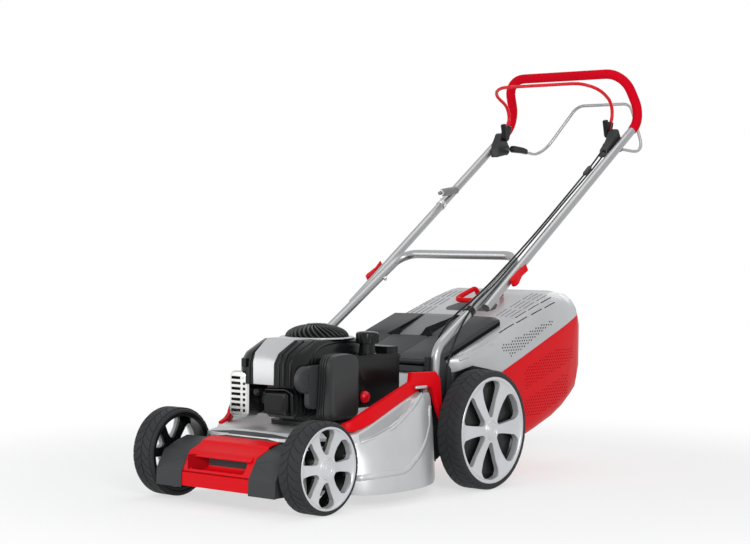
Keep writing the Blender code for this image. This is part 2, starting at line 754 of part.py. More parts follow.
def height_button():
    cap = rounded_rectangle(-0.0058, 0.0058, -0.021, 0.021, 0.0056, steps=3)
    lift = BUTTON_TRAVEL + 0.0012
    rings = []
    for z, share in ((lift, 0.94), (lift + 0.0015, 1.0), (lift + 0.0045, 0.97), (lift + 0.0060, 0.80)):
        rings.append([BUTTON_CENTRE + Vector((u * share, v * share, z - 0.0035)) for u, v in cap])
    button = make("height_button", loft(rings), SILVER_PAINT, pivot=BUTTON_CENTRE, smooth_angle=40)
    add(button, turned([(-0.018, 0.0045), (lift - 0.002, 0.0045)], BUTTON_CENTRE, "z", 12), "stem")


# Engine


def spindle(z=0.0):
    return at(0, SPINDLE_S, z)


def engine_block():
    base_z = PLATE_Z + GAP
    flange = rounded_rectangle(-0.085, 0.085, SPINDLE_S - 0.080, SPINDLE_S + 0.080, 0.030)
    block_obj = make("engine_block", plan_prism(flange, base_z, base_z + 0.010), CAST_METAL)
    case = rounded_rectangle(-0.068, 0.068, SPINDLE_S - 0.068, SPINDLE_S + 0.068, 0.025)
    add(block_obj, plan_prism(case, base_z + 0.005, 0.232), "crankcase")
    core_front = 0.0900
    core = rounded_rectangle(CYLINDER_X - 0.032, CYLINDER_X + 0.032, 0.196, 0.250, 0.012)
    add(block_obj, front_prism(core, core_front, SPINDLE_S - 0.060), "cylinder")
    fin = rounded_rectangle(CYLINDER_X - 0.047, CYLINDER_X + 0.047, 0.186, 0.2560, 0.012, steps=1)
    for i in range(6):
        start = core_front + 0.0008 + 0.0135 * i
        add(block_obj, front_prism(fin, start, start + 0.0035), f"fin_{i}")
    boss = turned([(0.228, 0.024), (0.244, 0.020)], spindle(), "z", 20)
    add(block_obj, boss, "boss")
    bore = CRANK_R + GAP
    cut(block_obj, turned([(0.150, bore), (0.260, bore)], spindle(), "z", 20), "bore")


def valve_cover():
    outline = rounded_rectangle(CYLINDER_X - 0.036, CYLINDER_X + 0.038, 0.192, 0.2460, 0.010)
    rings = []
    for s, inset in ((0.0897, 0.0), (0.0740, 0.0015), (0.0700, 0.006)):
        ring = offset_outline(outline, inset) if inset else outline
        rings.append([at(x, s, z) for x, z in ring])
    cover = make("valve_cover", loft(rings), BLACK_PLASTIC)
    plate = rounded_rectangle(CYLINDER_X - 0.024, CYLINDER_X + 0.026, 0.203, 0.235, 0.005, steps=2)
    add(cover, front_prism(plate, 0.0685, 0.0720), "plate")


def spark_plug():
    centre = at(CYLINDER_X - 0.0460, 0.0905, 0.2420)
    profile = [(0.0, 0.0068), (-0.012, 0.0068), (-0.013, 0.0085), (-0.030, 0.0080), (-0.034, 0.0055)]
    make("spark_plug", turned(profile, centre, "y", 12), BLACK_PLASTIC, smooth_angle=40)


def crankshaft():
    profile = [
        (BLADE_Z + BLADE_THICKNESS + 0.0120, CRANK_R), (0.2440, CRANK_R), (0.2500, 0.0100),
        (0.2850, 0.0090), (0.2855, 0.0060), (0.3050, 0.0060),
    ]
    make("crankshaft", turned(profile, spindle(), "z", 20), STEEL, pivot=spindle(), smooth_angle=40)


def flywheel():
    """Cast disc on the crankshaft's taper, with fan vanes on top."""
    profile = [
        (0.2600, 0.080), (0.2720, 0.082), (0.2740, 0.060), (0.2780, 0.022), (0.2840, 0.020),
        (0.2840, 0.0100 + GAP), (0.2600, 0.0100 + GAP), (0.2600, 0.024),
    ]
    wheel = make("flywheel", turned(profile, spindle(), "z", 24, closed=True), CAST_METAL,
                 pivot=spindle(), smooth_angle=40)
    bm = bmesh.new()
    vanes = 12
    for i in range(vanes):
        turn = Matrix.Rotation(2 * math.pi * i / vanes, 3, "Z")
        rings = []
        for radius, half in ((0.046, 0.0012), (0.076, 0.0018)):
            corners = [(-half, 0.2715), (half, 0.2715), (half, 0.2900), (-half, 0.2900)]
            rings.append([spindle() + turn @ Vector((radius, y, 0)) + Z_AXIS * z for y, z in corners])
        loft(rings, bm)
    add(wheel, bm, "vanes")


def blade_boss():
    """Sleeve on the shaft's lower end with the belt groove, the blade seat and the bolt."""
    seat = BLADE_Z + BLADE_THICKNESS + GAP
    groove = [(BELT_Z + a, r) for a, r in groove_profile(BOSS_PULLEY_R)]
    profile = [
        (BLADE_Z - 0.0100, 0.011), (BLADE_Z - 0.0080, 0.013), (BLADE_Z - GAP, 0.013), (BLADE_Z - GAP, 0.008),
        (seat, 0.008), (seat, 0.030), (seat + 0.008, 0.030), (seat + 0.011, 0.018), (BELT_Z - 0.010, 0.018),
        *groove, (BELT_Z + 0.007, CRANK_R + GAP), (seat + 0.0115, CRANK_R + GAP),
    ]
    make("blade_boss", turned(profile, spindle(), "z", 16), STEEL, pivot=spindle(), smooth_angle=40)


def blade():
    """Bar blade with sharpened edges and lifted wings behind them, mirrored end for end."""
    half_width = 0.025
    rows = []
    for x in (-1.0, -0.80, -0.66, -0.30, 0.30, 0.66, 0.80, 1.0):
        lift = 0.013 if abs(x) >= 0.80 else 0.0
        hand = 1 if x > 0 else -1
        edge = 0.0008 if abs(x) >= 0.66 else BLADE_THICKNESS
        section = [
            (half_width * hand, edge / 2, -edge / 2),
            (half_width * 0.62 * hand, BLADE_THICKNESS / 2, -BLADE_THICKNESS / 2),
            (-half_width * 0.45 * hand, BLADE_THICKNESS / 2, -BLADE_THICKNESS / 2),
            (-half_width * hand, BLADE_THICKNESS / 2 + lift, -BLADE_THICKNESS / 2 + lift),
        ]
        if hand < 0:
            section = section[::-1]
        top = [(s, high) for s, high, _ in section]
        bottom = [(s, low) for s, _, low in section[::-1]]
        middle = BLADE_Z + BLADE_THICKNESS / 2
        rows.append([at(x * BLADE_HALF, SPINDLE_S + s, middle + z) for s, z in top + bottom])
    bar = make("blade", loft(rows), STEEL, pivot=spindle())
    hole = turned([(BLADE_Z - 0.01, 0.008 + GAP), (BLADE_Z + 0.02, 0.008 + GAP)], spindle(), "z", 16)
    cut(bar, hole, "hole")


MUFFLER_X = (-0.1150, -0.0600)
GUARD_TOP_Z = 0.2850


def muffler():
    outline = rounded_rectangle(MUFFLER_X[0], MUFFLER_X[1], 0.1855, 0.2560, 0.016)
    body = make("muffler", front_prism(outline, 0.0935, 0.1450), STEEL)
    pipe = turned([(MUFFLER_X[1] - 0.004, 0.0100), (CYLINDER_X - 0.0473, 0.0100)], at(0, 0.1300, 0.2200), "x", 12)
    add(body, pipe, "pipe")


def muffler_guard():
    """Pressed cage with two columns of slots, open at the back."""
    x_low, x_high = MUFFLER_X[0] - 0.0015 - GAP, MUFFLER_X[1] + 0.0015 + GAP
    outline = rounded_rectangle(x_low, x_high, 0.1800, GUARD_TOP_Z, 0.016, steps=4)
    inner = offset_outline(outline, 0.0015)
    rings = [
        [at(x, 0.1120, z) for x, z in outline], [at(x, 0.0800, z) for x, z in outline],
        [at(x, 0.0760, z) for x, z in offset_outline(outline, 0.004)],
        [at(x, 0.0775, z) for x, z in offset_outline(outline, 0.0045)],
        [at(x, 0.0810, z) for x, z in inner], [at(x, 0.1120, z) for x, z in inner],
    ]
    bm = bmesh.new()
    rows = [[bm.verts.new(p) for p in ring] for ring in rings]
    count = len(rows[0])
    for first, second in zip(rows, rows[1:] + rows[:1]):
        if first is rows[2]:
            continue
        for i in range(count):
            j = (i + 1) % count
            bm.faces.new((first[i], first[j], second[j], second[i]))
    bm.faces.new(rows[2])
    bm.faces.new(rows[3])
    guard = make("muffler_guard", bm, STEEL)
    slots = bmesh.new()
    for row in range(7):
        z = 0.1960 + 0.0122 * row
        block(x_low + 0.0080, x_low + 0.0360, 0.0740, 0.0800, z - 0.0032, z + 0.0032, slots)
        block(x_low + 0.0430, x_low + 0.0510, 0.0740, 0.0800, z - 0.0032, z + 0.0032, slots)
    cut(guard, slots, "slots")


HOUSING_COUNT = 32


def housing_ring(inset_side, inset_front, inset_rear, z):
    """One level of the blower housing: a rounded rectangle by equal angles about the spindle."""
    outline = rounded_rectangle(
        -HOUSING_HALF + inset_side, HOUSING_HALF - inset_side,
        HOUSING_FRONT_S + inset_front, HOUSING_REAR_S - inset_rear, 0.045, steps=HOUSING_COUNT // 4 - 1,
    )
    return [at(x, s, z) for x, s in outline]


def blower_housing():
    rings = [
        housing_ring(0.0, 0.0, 0.0, HOUSING_BOTTOM_Z),
        housing_ring(0.0, 0.0, 0.0, HOUSING_BOTTOM_Z + 0.0500),
        housing_ring(0.006, 0.010, 0.006, HOUSING_BOTTOM_Z + 0.0700),
        housing_ring(0.016, 0.046, 0.014, HOUSING_TOP_Z - 0.0060),
        housing_ring(0.020, 0.056, 0.020, HOUSING_TOP_Z),
    ]
    hole = [at(0.066 * math.cos(a), SPINDLE_S + 0.066 * math.sin(a), HOUSING_TOP_Z)
            for a in (2 * math.pi * (i + 0.5) / HOUSING_COUNT for i in range(HOUSING_COUNT))]
    rings.append(hole)
    housing = make("blower_housing", loft(rings, caps=False), BLACK_PLASTIC, smooth_angle=40)
    thicken(housing, 0.0025)
    notch = block(-0.1200, MUFFLER_X[1] + 0.0030, 0.0500, 0.1140, 0.2500, GUARD_TOP_Z + 0.0010)
    cut(housing, notch, "muffler_notch")


def housing_fascia():
    """Silver strip over the housing's front, ending in a ring round the recoil cover."""
    face = HOUSING_FRONT_S - GAP
    path = [
        (face, HOUSING_BOTTOM_Z + 0.002), (face, HOUSING_BOTTOM_Z + 0.0503),
        (face + 0.0100, HOUSING_BOTTOM_Z + 0.0706), (face + 0.0460, HOUSING_TOP_Z - 0.0054),
        (face + 0.0565, HOUSING_TOP_Z + 0.0006), (SPINDLE_S - DOME_R - 0.004, HOUSING_TOP_Z + 0.0006),
    ]
    profile = shell_profile(path, -0.002)
    halves = [0.030, 0.031, 0.034, 0.040, 0.042, 0.046]
    halves = halves + halves[::-1]
    rings = [[at(side * half, s, z) for (s, z), half in zip(profile, halves)] for side in (-1, 1)]
    fascia = make("housing_fascia", loft(rings), SILVER_PAINT)
    low, high = HOUSING_TOP_Z + 0.0006, HOUSING_TOP_Z + 0.0036
    ring = [(low, 0.086), (high - 0.001, 0.086), (high, 0.084), (high, DOME_R + 0.001), (low, DOME_R + 0.001)]
    add(fascia, turned(ring, spindle(), "z", 32, closed=True), "ring")


def recoil_cover():
    """Domed starter cover whose flank is a row of upright ribs."""
    ribs = 24
    base = HOUSING_TOP_Z + GAP
    height = DOME_TOP_Z - base
    rings = []
    levels = (
        (0.0, 1.0, 0), (0.10, 0.995, 0), (0.13, 0.99, 1), (0.55, 0.88, 1), (0.88, 0.62, 1), (0.95, 0.52, 0), (1.0, 0.30, 0),
    )
    for rise, share, groove in levels:
        ring = []
        for i in range(2 * ribs):
            angle = math.pi * (i + 0.5) / ribs
            depth = 0.0045 if groove and i % 2 else 0.0
            radius = DOME_R * share - depth
            around = Vector((radius * math.cos(angle), radius * math.sin(angle), 0))
            ring.append(spindle(base + height * rise) + around)
        rings.append(ring)
    make("recoil_cover", loft(rings), BLACK_PLASTIC)


CARB_OUTER_X = 0.1100


def carburettor():
    """Intake body beside the cylinder with the round choke plate in front."""
    inner = HOUSING_HALF + GAP
    plate = rounded_rectangle(0.0920, 0.2050, 0.2100, 0.3050, 0.012)
    body = make("carburettor", side_prism(plate, inner + 0.001, CARB_OUTER_X), BLACK_PLASTIC)
    face = [(inner, 0.030), (CARB_OUTER_X - 0.004, 0.030), (CARB_OUTER_X - 0.002, 0.027)]
    disc = turned(face, at(0, 0.0880, 0.2745), "x", 24)
    add(body, disc, "disc")
    duct = rounded_rectangle(0.1150, 0.1650, 0.2150, 0.2500, 0.008, steps=2)
    add(body, side_prism(duct, CYLINDER_X + 0.0473, inner + 0.003), "duct")


def air_filter_cover():
    outline = rounded_rectangle(0.1120, 0.2130, 0.1840, 0.3310, 0.018, steps=3)
    levels = (
        (CARB_OUTER_X + GAP, 0.004), (0.1160, 0.0), (0.1220, 0.0), (0.1235, 0.0025), (0.1265, 0.0025),
        (0.1280, 0.0), (0.1340, 0.0), (0.1355, 0.0025), (0.1385, 0.0025), (0.1400, 0.0),
        (FILTER_OUTER_X - 0.006, 0.0025), (FILTER_OUTER_X, 0.014),
    )
    rings = []
    for x, inset in levels:
        ring = offset_outline(outline, inset) if inset else outline
        rings.append([at(x, s, z) for s, z in ring])
    make("air_filter_cover", loft(rings), BLACK_PLASTIC, smooth_angle=30)


PRIMER_S, PRIMER_Z = 0.2530, 0.2285
PRIMER_R = 0.0150
PRIMER_SEAT = 0.0018
PRIMER_TRAVEL = 0.005


def fuel_tank():
    inner = HOUSING_HALF + GAP
    behind = HOUSING_REAR_S + GAP
    plan = [
        (inner, 0.2200), (TANK_OUTER_X - 0.006, 0.2200), (TANK_OUTER_X, 0.2260), (TANK_OUTER_X, 0.3800),
        (TANK_OUTER_X - 0.012, 0.3920), (-0.0200, 0.3920), (-0.0320, 0.3800), (-0.0320, behind), (inner, behind),
    ]
    tank = make("fuel_tank", plan_prism(plan, TANK_BOTTOM_Z, TANK_TOP_Z), BLACK_PLASTIC)
    flange = offset_outline(plan, 0.0)
    flange = [(x + (0.003 if x > 0.12 else 0.0), s) for x, s in flange]
    add(tank, plan_prism(flange, TANK_TOP_Z - 0.010, TANK_TOP_Z - 0.005), "flange")
    hump = rounded_rectangle(-0.015, TANK_OUTER_X - 0.005, behind + 0.002, 0.3880, 0.012)
    add(tank, plan_prism(hump, TANK_TOP_Z - 0.004, TANK_TOP_Z + 0.016), "hump")
    neck = turned([(TANK_TOP_Z - 0.004, 0.020), (TANK_TOP_Z + 0.024, 0.0175), (TANK_TOP_Z + 0.034, 0.0175)],
                  at(CAP_X, CAP_S, 0), "z", 20)
    add(tank, neck, "neck")
    seat = at(TANK_OUTER_X - PRIMER_SEAT - PRIMER_TRAVEL - GAP, PRIMER_S, PRIMER_Z)
    reach = PRIMER_SEAT + PRIMER_TRAVEL + 0.005
    cut(tank, turned([(0.0, PRIMER_R + GAP), (reach, PRIMER_R + GAP)], seat, "x", 16), "primer_pocket")


CAP_BASE_Z = TANK_TOP_Z + 0.034 + GAP


def fuel_cap():
    """Knurled cap with a domed top, cut back under its rim so that it sits over the neck."""
    lobes = 12
    rings = []
    levels = (
        (-0.008, 0.0190, 0), (-0.008, CAP_R - 0.001, 0), (-0.006, CAP_R, 1), (0.013, CAP_R, 1),
        (0.0165, CAP_R - 0.003, 0), (0.0185, CAP_R * 0.55, 0),
    )
    for z, radius, knurl in levels:
        ring = []
        for i in range(2 * lobes):
            angle = math.pi * (i + 0.5) / lobes
            r = radius - (0.0016 if knurl and i % 2 else 0.0)
            around = Vector((r * math.cos(angle), r * math.sin(angle), 0))
            ring.append(Vector((CAP_X, FRONT_AXLE_Y + CAP_S, CAP_BASE_Z + z)) + around)
        rings.append(ring)
    inside = [circle(at(CAP_X, CAP_S, CAP_BASE_Z), 0.0180 + GAP, X_AXIS, Y_AXIS, 2 * lobes),
              circle(at(CAP_X, CAP_S, CAP_BASE_Z - 0.008), 0.0180 + GAP, X_AXIS, Y_AXIS, 2 * lobes)]
    bm = loft([*inside, *rings])
    make("fuel_cap", bm, BLACK_PLASTIC, pivot=at(CAP_X, CAP_S, CAP_BASE_Z))


def primer_bulb():
    centre = at(TANK_OUTER_X - PRIMER_SEAT, PRIMER_S, PRIMER_Z)
    profile = [(0.0, PRIMER_R), (0.0030, PRIMER_R), (0.0040, 0.0128), (0.0100, 0.0105), (0.0132, 0.0050)]
    make("primer_bulb", turned(profile, centre, "x", 16), RED_PLASTIC, pivot=centre, smooth_angle=50)


# Handle


def lower_handle():
    foot_s = 0.452
    knee_z = 0.330
    corners = [
        at(-LOWER_TUBE_X, foot_s, 0.2640), at(-LOWER_TUBE_X, foot_s, knee_z),
        at(-LOWER_TUBE_X, CROSSBAR_STATION, CROSSBAR_Z), at(LOWER_TUBE_X, CROSSBAR_STATION, CROSSBAR_Z),
        at(LOWER_TUBE_X, foot_s, knee_z), at(LOWER_TUBE_X, foot_s, 0.2640),
    ]
    path = rounded_path(corners, [0.055, 0.048, 0.048, 0.055], steps=4)
    make("lower_handle", rod(path, TUBE_R), SILVER_PAINT, smooth_angle=40)


def grip_corners():
    """Corners of the upper tube's centre line, from the right end round to the left."""
    knee = (GRIP_KNEE_STATION, handle_z(GRIP_KNEE_STATION))
    half = [
        at(UPPER_TUBE_X, UPPER_TUBE_END, handle_z(UPPER_TUBE_END)), at(UPPER_TUBE_X, *knee),
        at(UPPER_TUBE_X - 0.006, GRIP_BAR_STATION, GRIP_BAR_Z),
    ]
    return [Vector((-p.x, p.y, p.z)) for p in half] + half[::-1]


def upper_path():
    return rounded_path(grip_corners(), [0.050, 0.072, 0.072, 0.050], steps=4)


FOLD_PIVOT = (FOLD_STATION, handle_z(FOLD_STATION) + 0.0005)


def upper_handle():
    make("upper_handle", rod(upper_path(), TUBE_R), SILVER_PAINT, pivot=at(0, *FOLD_PIVOT), smooth_angle=40)


def handle_grip():
    """Foam from one side's straight run, over the bar, to the other's."""
    path = upper_path()
    start_s = 1.284
    slope_z = handle_z(start_s)
    path = [at(-UPPER_TUBE_X, start_s, slope_z), *path[1:-1], at(UPPER_TUBE_X, start_s, slope_z)]
    outer = TUBE_R + GAP + GRIP_FOAM
    make("handle_grip", sleeve(path, outer, TUBE_R + GAP), FOAM, pivot=at(0, *FOLD_PIVOT), smooth_angle=40)


def control_brackets():
    """Moulded brackets inside the tubes that carry the ends of both bails."""
    outline = (
        (1.178, 0.800), (1.222, 0.806), (1.262, 0.822), (1.266, 0.848), (1.252, 0.880), (1.228, 0.887),
        (1.214, 0.872), (1.205, 0.850), (1.180, 0.826),
    )
    for side, name in ((1, "control_bracket_left"), (-1, "control_bracket_right")):
        edges = sorted((side * (BRACKET_OUTER_X - BRACKET_WIDTH), side * BRACKET_OUTER_X))
        bracket = bevel(make(name, side_prism(outline, *edges), BLACK_PLASTIC, pivot=at(0, *FOLD_PIVOT)), 0.002)
        bore = BAIL_WIRE_R + GAP
        reach = sorted((side * (BRACKET_OUTER_X - BRACKET_WIDTH - 0.01), side * (BRACKET_OUTER_X - 0.004)))
        for label, place in (("brake_bore", BRAKE_PIVOT), ("drive_bore", DRIVE_PIVOT)):
            cut(bracket, turned([(reach[0], bore), (reach[1], bore)], at(0, *place), "x", 12), label)


def bail(name, half_x, pivot, corners, radii, finish):
    """Bent wire whose ends turn outwards into the bracket bores."""
    foot_x = BRACKET_OUTER_X - 0.0060
    half = [at(foot_x, *pivot), at(half_x, *pivot), *corners]
    mirrored = [Vector((-p.x, p.y, p.z)) for p in half]
    path = rounded_path(half + mirrored[::-1], radii + radii[::-1], steps=3)
    make(name, rod(path, BAIL_WIRE_R, 8), finish, pivot=at(0, *pivot), smooth_angle=45)


def bails():
    brake = [at(BRAKE_BAIL_X, 1.262, 0.945), at(BRAKE_BAIL_X + 0.004, *BRAKE_BAR)]
    bail("brake_bail", BRAKE_BAIL_X, BRAKE_PIVOT, brake, [0.0055, 0.024, 0.040], RED_PLASTIC)
    drive = [
        at(DRIVE_BAIL_X, 1.372, 0.830), at(DRIVE_BAR_HALF + 0.012, *DRIVE_BAR),
    ]
    bail("drive_bail", DRIVE_BAIL_X, DRIVE_PIVOT, drive, [0.0055, 0.040, 0.024], STEEL)


CAM_PIVOT = (0.7115, handle_z(0.7115))
LEVER_INNER_X = UPPER_TUBE_X + TUBE_FLAT + GAP


def cam_levers():
    """Quick clamps on the outer face of the upper tubes, lying along them when shut."""
    slope = math.atan(HANDLE_SLOPE)
    forward = Vector((math.cos(slope), math.sin(slope)))
    normal = Vector((-forward.y, forward.x))
    plan = ((0.0, 0.0), (-0.0056, 0.0024), (-0.0080, 0.0080), (-0.0056, 0.0136), (0.0, 0.0160), (0.0060, 0.0162),
            (0.0360, 0.0085), (0.0620, 0.0120), (0.0640, 0.0090), (0.0400, 0.0035), (0.0120, 0.0))
    for side, name in ((1, "cam_lever_left"), (-1, "cam_lever_right")):
        rings = []
        for across in (-0.009, 0.009):
            ring = []
            for length, out in plan:
                place = Vector(CAM_PIVOT) + forward * length + normal * across
                ring.append(at(side * (LEVER_INNER_X + out), place.x, place.y))
            rings.append(ring)
        pivot = at(side * (LEVER_INNER_X + 0.008), *CAM_PIVOT)
        make(name, loft(rings), RED_PLASTIC, pivot=pivot)


CABLE_R = 0.0024


def tube_side(s, lift, offset):
    """A point over the left upper tube, lifted square to its slope, beside the lower tube's centre."""
    slope = math.atan(HANDLE_SLOPE)
    return at(LOWER_TUBE_X + offset, s - lift * math.sin(slope), handle_z(s) + lift * math.cos(slope))


def by_tube(offset, s, z):
    """A point beside the left lower tube, its half-width counted from the tube's centre."""
    return at(LOWER_TUBE_X + offset, s, z)


BRAKE_CABLE_ROUTE = (
    by_tube(0.0000, 1.1772, 0.8190), by_tube(0.0000, 1.1690, 0.8180), tube_side(1.120, 0.0150, 0.0030),
    tube_side(1.00, 0.0155, 0.0050), tube_side(0.88, 0.0160, 0.0050), by_tube(0.0040, 0.7900, 0.5590),
    by_tube(0.0030, 0.7200, 0.5145), by_tube(0.0025, 0.6600, 0.4775), by_tube(0.0000, 0.6000, 0.4430),
    by_tube(-0.0020, 0.5750, 0.4300), by_tube(-0.0100, 0.5300, 0.4000), by_tube(-0.0260, 0.4800, 0.3550),
    by_tube(-0.0440, 0.4480, 0.3080), by_tube(-0.0600, 0.4380, 0.2720), by_tube(-0.0640, 0.4360, 0.2512),
)
DRIVE_CABLE_ROUTE = (
    by_tube(0.0020, 1.1765, 0.8050), by_tube(0.0020, 1.1680, 0.8035), tube_side(1.120, 0.0090, 0.0090),
    tube_side(1.00, 0.0150, 0.0130), tube_side(0.88, 0.0160, 0.0135), by_tube(0.0125, 0.7900, 0.5575),
    by_tube(0.0115, 0.7200, 0.5090), by_tube(0.0115, 0.6600, 0.4715), by_tube(0.0105, 0.6000, 0.4390),
    by_tube(0.0120, 0.5750, 0.4200), by_tube(0.0160, 0.5300, 0.3800), by_tube(0.0160, 0.4960, 0.3300),
    by_tube(0.0140, 0.4810, 0.2900), by_tube(0.0110, 0.4800, 0.2550), by_tube(0.0050, 0.4840, 0.2250),
    by_tube(-0.0030, 0.4890, 0.2090), by_tube(-0.0105, 0.4910, 0.2055),
)


def cables():
    for name, route in (("brake_cable", BRAKE_CABLE_ROUTE), ("drive_cable", DRIVE_CABLE_ROUTE)):
        path = smooth_path(list(route), per_run=2)
        make(name, rod(path, CABLE_R, 6), BLACK_PLASTIC, smooth_angle=60)


def lower_tube_point(share):
    """Centre of the left lower tube on its straight run, 0 at the knee and 1 at the crossbar."""
    return at(LOWER_TUBE_X, 0.452, 0.330).lerp(at(LOWER_TUBE_X, CROSSBAR_STATION, CROSSBAR_Z), share)


def cable_clip():
    """Open hook round the lower tube that holds both cables against it."""
    centre = lower_tube_point(0.385)
    along_tube = (lower_tube_point(1.0) - lower_tube_point(0.0)).normalized()
    across = X_AXIS
    up = along_tube.cross(across)
    if up.z < 0:
        up = -up
    rings = []
    inner, outer = TUBE_R + GAP, TUBE_R + 0.0025
    for i in range(11):
        angle = math.radians(-60 + 235 * i / 10)
        heading = across * math.cos(angle) + up * math.sin(angle)
        rings.append([
            centre + heading * inner - along_tube * 0.0075, centre + heading * outer - along_tube * 0.0075,
            centre + heading * outer + along_tube * 0.0075, centre + heading * inner + along_tube * 0.0075,
        ])
    make("cable_clip", loft(rings), BLACK_PLASTIC)


STARTER_EYE = at(0.0005 - LOWER_TUBE_X, 0.9600, 0.7078)
STARTER_TILT = math.radians(8.0)
STARTER_AXIS = Vector((0, math.cos(STARTER_TILT), math.sin(STARTER_TILT)))
STARTER_STEM_R = 0.0045


def rope_guide():
    """Wire eye for the starter grip, on a clamp round the right upper tube."""
    slope = math.atan(HANDLE_SLOPE)
    heading = Vector((0, math.cos(slope), math.sin(slope)))
    normal = Vector((0, -math.sin(slope), math.cos(slope)))
    centre = at(-UPPER_TUBE_X, 0.9920, handle_z(0.9920))
    inner, outer = TUBE_R + GAP, TUBE_R + 0.0025
    rings = []
    for i in range(11):
        angle = math.radians(-135 + 300 * i / 10)
        out = X_AXIS * math.cos(angle) + normal * math.sin(angle)
        rings.append([
            centre + out * inner - heading * 0.006, centre + out * outer - heading * 0.006,
            centre + out * outer + heading * 0.006, centre + out * inner + heading * 0.006,
        ])
    guide = make("rope_guide", loft(rings), STEEL, pivot=at(0, *FOLD_PIVOT))
    eye_r = STARTER_STEM_R + 0.0008
    foot = centre + (X_AXIS + normal).normalized() * (outer - 0.0008)
    wire = [STARTER_EYE - Z_AXIS * (eye_r + 0.0015), STARTER_EYE + Vector((-0.001, 0.002, -0.0170)), foot]
    add(guide, rod(smooth_path(wire, per_run=3), 0.0018, 8), "wire")
    ring = [(-0.0020, eye_r), (-0.0020, eye_r + 0.0030), (0.0020, eye_r + 0.0030), (0.0020, eye_r)]
    add(guide, turned(ring, STARTER_EYE, STARTER_AXIS, 14, closed=True), "eye")


def starter_grip():
    """Barrel-shaped pull, its stem resting in the wire eye."""
    profile = [
        (-0.0080, STARTER_STEM_R), (0.0023, STARTER_STEM_R), (0.0025, 0.0085), (0.0060, 0.0100), (0.0300, 0.0108),
        (0.0560, 0.0100), (0.0680, 0.0106), (0.0720, 0.0085),
    ]
    grip = turned(profile, STARTER_EYE, STARTER_AXIS, 14)
    make("starter_grip", grip, GREY_PLASTIC, pivot=STARTER_EYE, smooth_angle=50)


# Rear frame, flap and grass box


def rear_frame():
    """Bulkhead behind the deck: a flange round the discharge, two cheeks and the chute floor."""
    back = FRAME_FRONT_S + 0.004
    plate = [
        (-0.1480, 0.0600), (0.1480, 0.0600), (0.1480, 0.2400), (0.1380, 0.2700), (-0.1380, 0.2700), (-0.1480, 0.2400),
    ]
    frame = make("rear_frame", front_prism(plate, FRAME_FRONT_S, back), DARK_PLASTIC)
    cheek = [
        (back - 0.001, 0.0700), (0.4950, 0.0790), (0.5250, 0.0930), (0.5360, 0.1050), (0.5450, 0.1300),
        (0.5450, 0.2200), (0.5300, 0.2800), (0.4950, 0.3100),
        (0.4380, 0.3120), (0.4380, 0.2780), (FRAME_FRONT_S + 0.0040, 0.2740), (back - 0.001, 0.2600),
    ]
    cheeks = (("left_cheek", CHEEK_INNER_X, CHEEK_OUTER_X), ("right_cheek", -CHEEK_OUTER_X, -CHEEK_INNER_X))
    for name, low, high in cheeks:
        add(frame, side_prism(cheek, low, high), name)
    wing_in, wing_out = CHEEK_INNER_X - 0.0197, CHEEK_OUTER_X - 0.0027
    wing = [(wing_in, 0.0650), (wing_out, 0.0650), (wing_out, 0.2550), (wing_in, 0.2550)]
    add(frame, front_prism(wing, back - 0.003, back), "left_wing")
    add(frame, front_prism([(-x, z) for x, z in wing], back - 0.003, back), "right_wing")
    floor_half = CHEEK_INNER_X + 0.0023
    add(frame, block(-floor_half, floor_half, back - 0.001, 0.5400, 0.1500, 0.1530), "floor")
    cut(frame, block(-CHUTE_HALF, CHUTE_HALF, 0.450, 0.490, CHUTE_BOTTOM_Z, CHUTE_TOP_Z), "mouth")
    cut(frame, block(-0.0500, 0.0500, 0.450, 0.490, BELT_Z - 0.010, BELT_Z + 0.010), "belt_slot")
    bore = DRIVE_SHAFT_R + GAP
    cut(frame, turned([(-0.200, bore), (0.200, bore)], at(0, *REAR_PIVOT), "x", 16), "shaft_bore")


def flap_pin():
    length = CHEEK_INNER_X - GAP
    make("flap_pin", turned([(-length, FLAP_PIN_R), (length, FLAP_PIN_R)], at(0, *FLAP_PIN), "x", 12), STEEL)


FLAP_EDGE = (0.513, 0.296)
FLAP_SLOPE = 0.343


def flap_edge_z(s):
    """Height of the line on which the flap's skirt rests, which is also the box's top."""
    return FLAP_EDGE[1] + FLAP_SLOPE * (s - FLAP_EDGE[0])


BOX_SECTIONS = tuple(
    # station, half width, bottom, top, corner radius
    (s, half, low, flap_edge_z(s) - 0.0010 + high, radius)
    for s, half, low, high, radius in (
        (0.500, FLAP_HALF - 0.0060, 0.1680, 0.0, 0.014),
        (0.547, FLAP_HALF - 0.0040, 0.1670, 0.0, 0.016),
        (0.562, 0.1740, 0.1665, 0.0, 0.020),
        (0.585, 0.1900, 0.1650, 0.0, 0.024),
        (0.640, 0.2010, 0.1560, 0.0, 0.030),
        (0.690, 0.2030, 0.0880, 0.0, 0.034),
        (0.760, 0.2045, 0.0780, 0.0, 0.038),
        (0.860, 0.2050, 0.1020, 0.0, 0.048),
        (0.940, 0.2050, 0.1250, 0.0, 0.056),
        (0.990, 0.2040, 0.1460, -0.003, 0.060),
        (1.040, 0.1980, 0.1720, -0.026, 0.062),
        (1.070, 0.1850, 0.2000, -0.056, 0.064),
        (1.090, 0.1600, 0.2350, -0.096, 0.060),
        (1.099, 0.1200, 0.2750, -0.142, 0.036),
    )
)


def box_top_z(s):
    return float(np.interp(s, [row[0] for row in BOX_SECTIONS], [row[3] for row in BOX_SECTIONS]))


def box_rings(inset):
    rings = []
    for s, half, low, high, radius in BOX_SECTIONS:
        corner = radius - inset * 0.6
        outline = rounded_rectangle(-half + inset, half - inset, low + inset, high - inset, corner, steps=4)
        shift = 0.0
        if s == BOX_FRONT_S and inset:
            shift = -0.010
        if s > 1.08:
            shift = -inset
        rings.append([at(x, s + shift, z) for x, z in outline])
    return rings


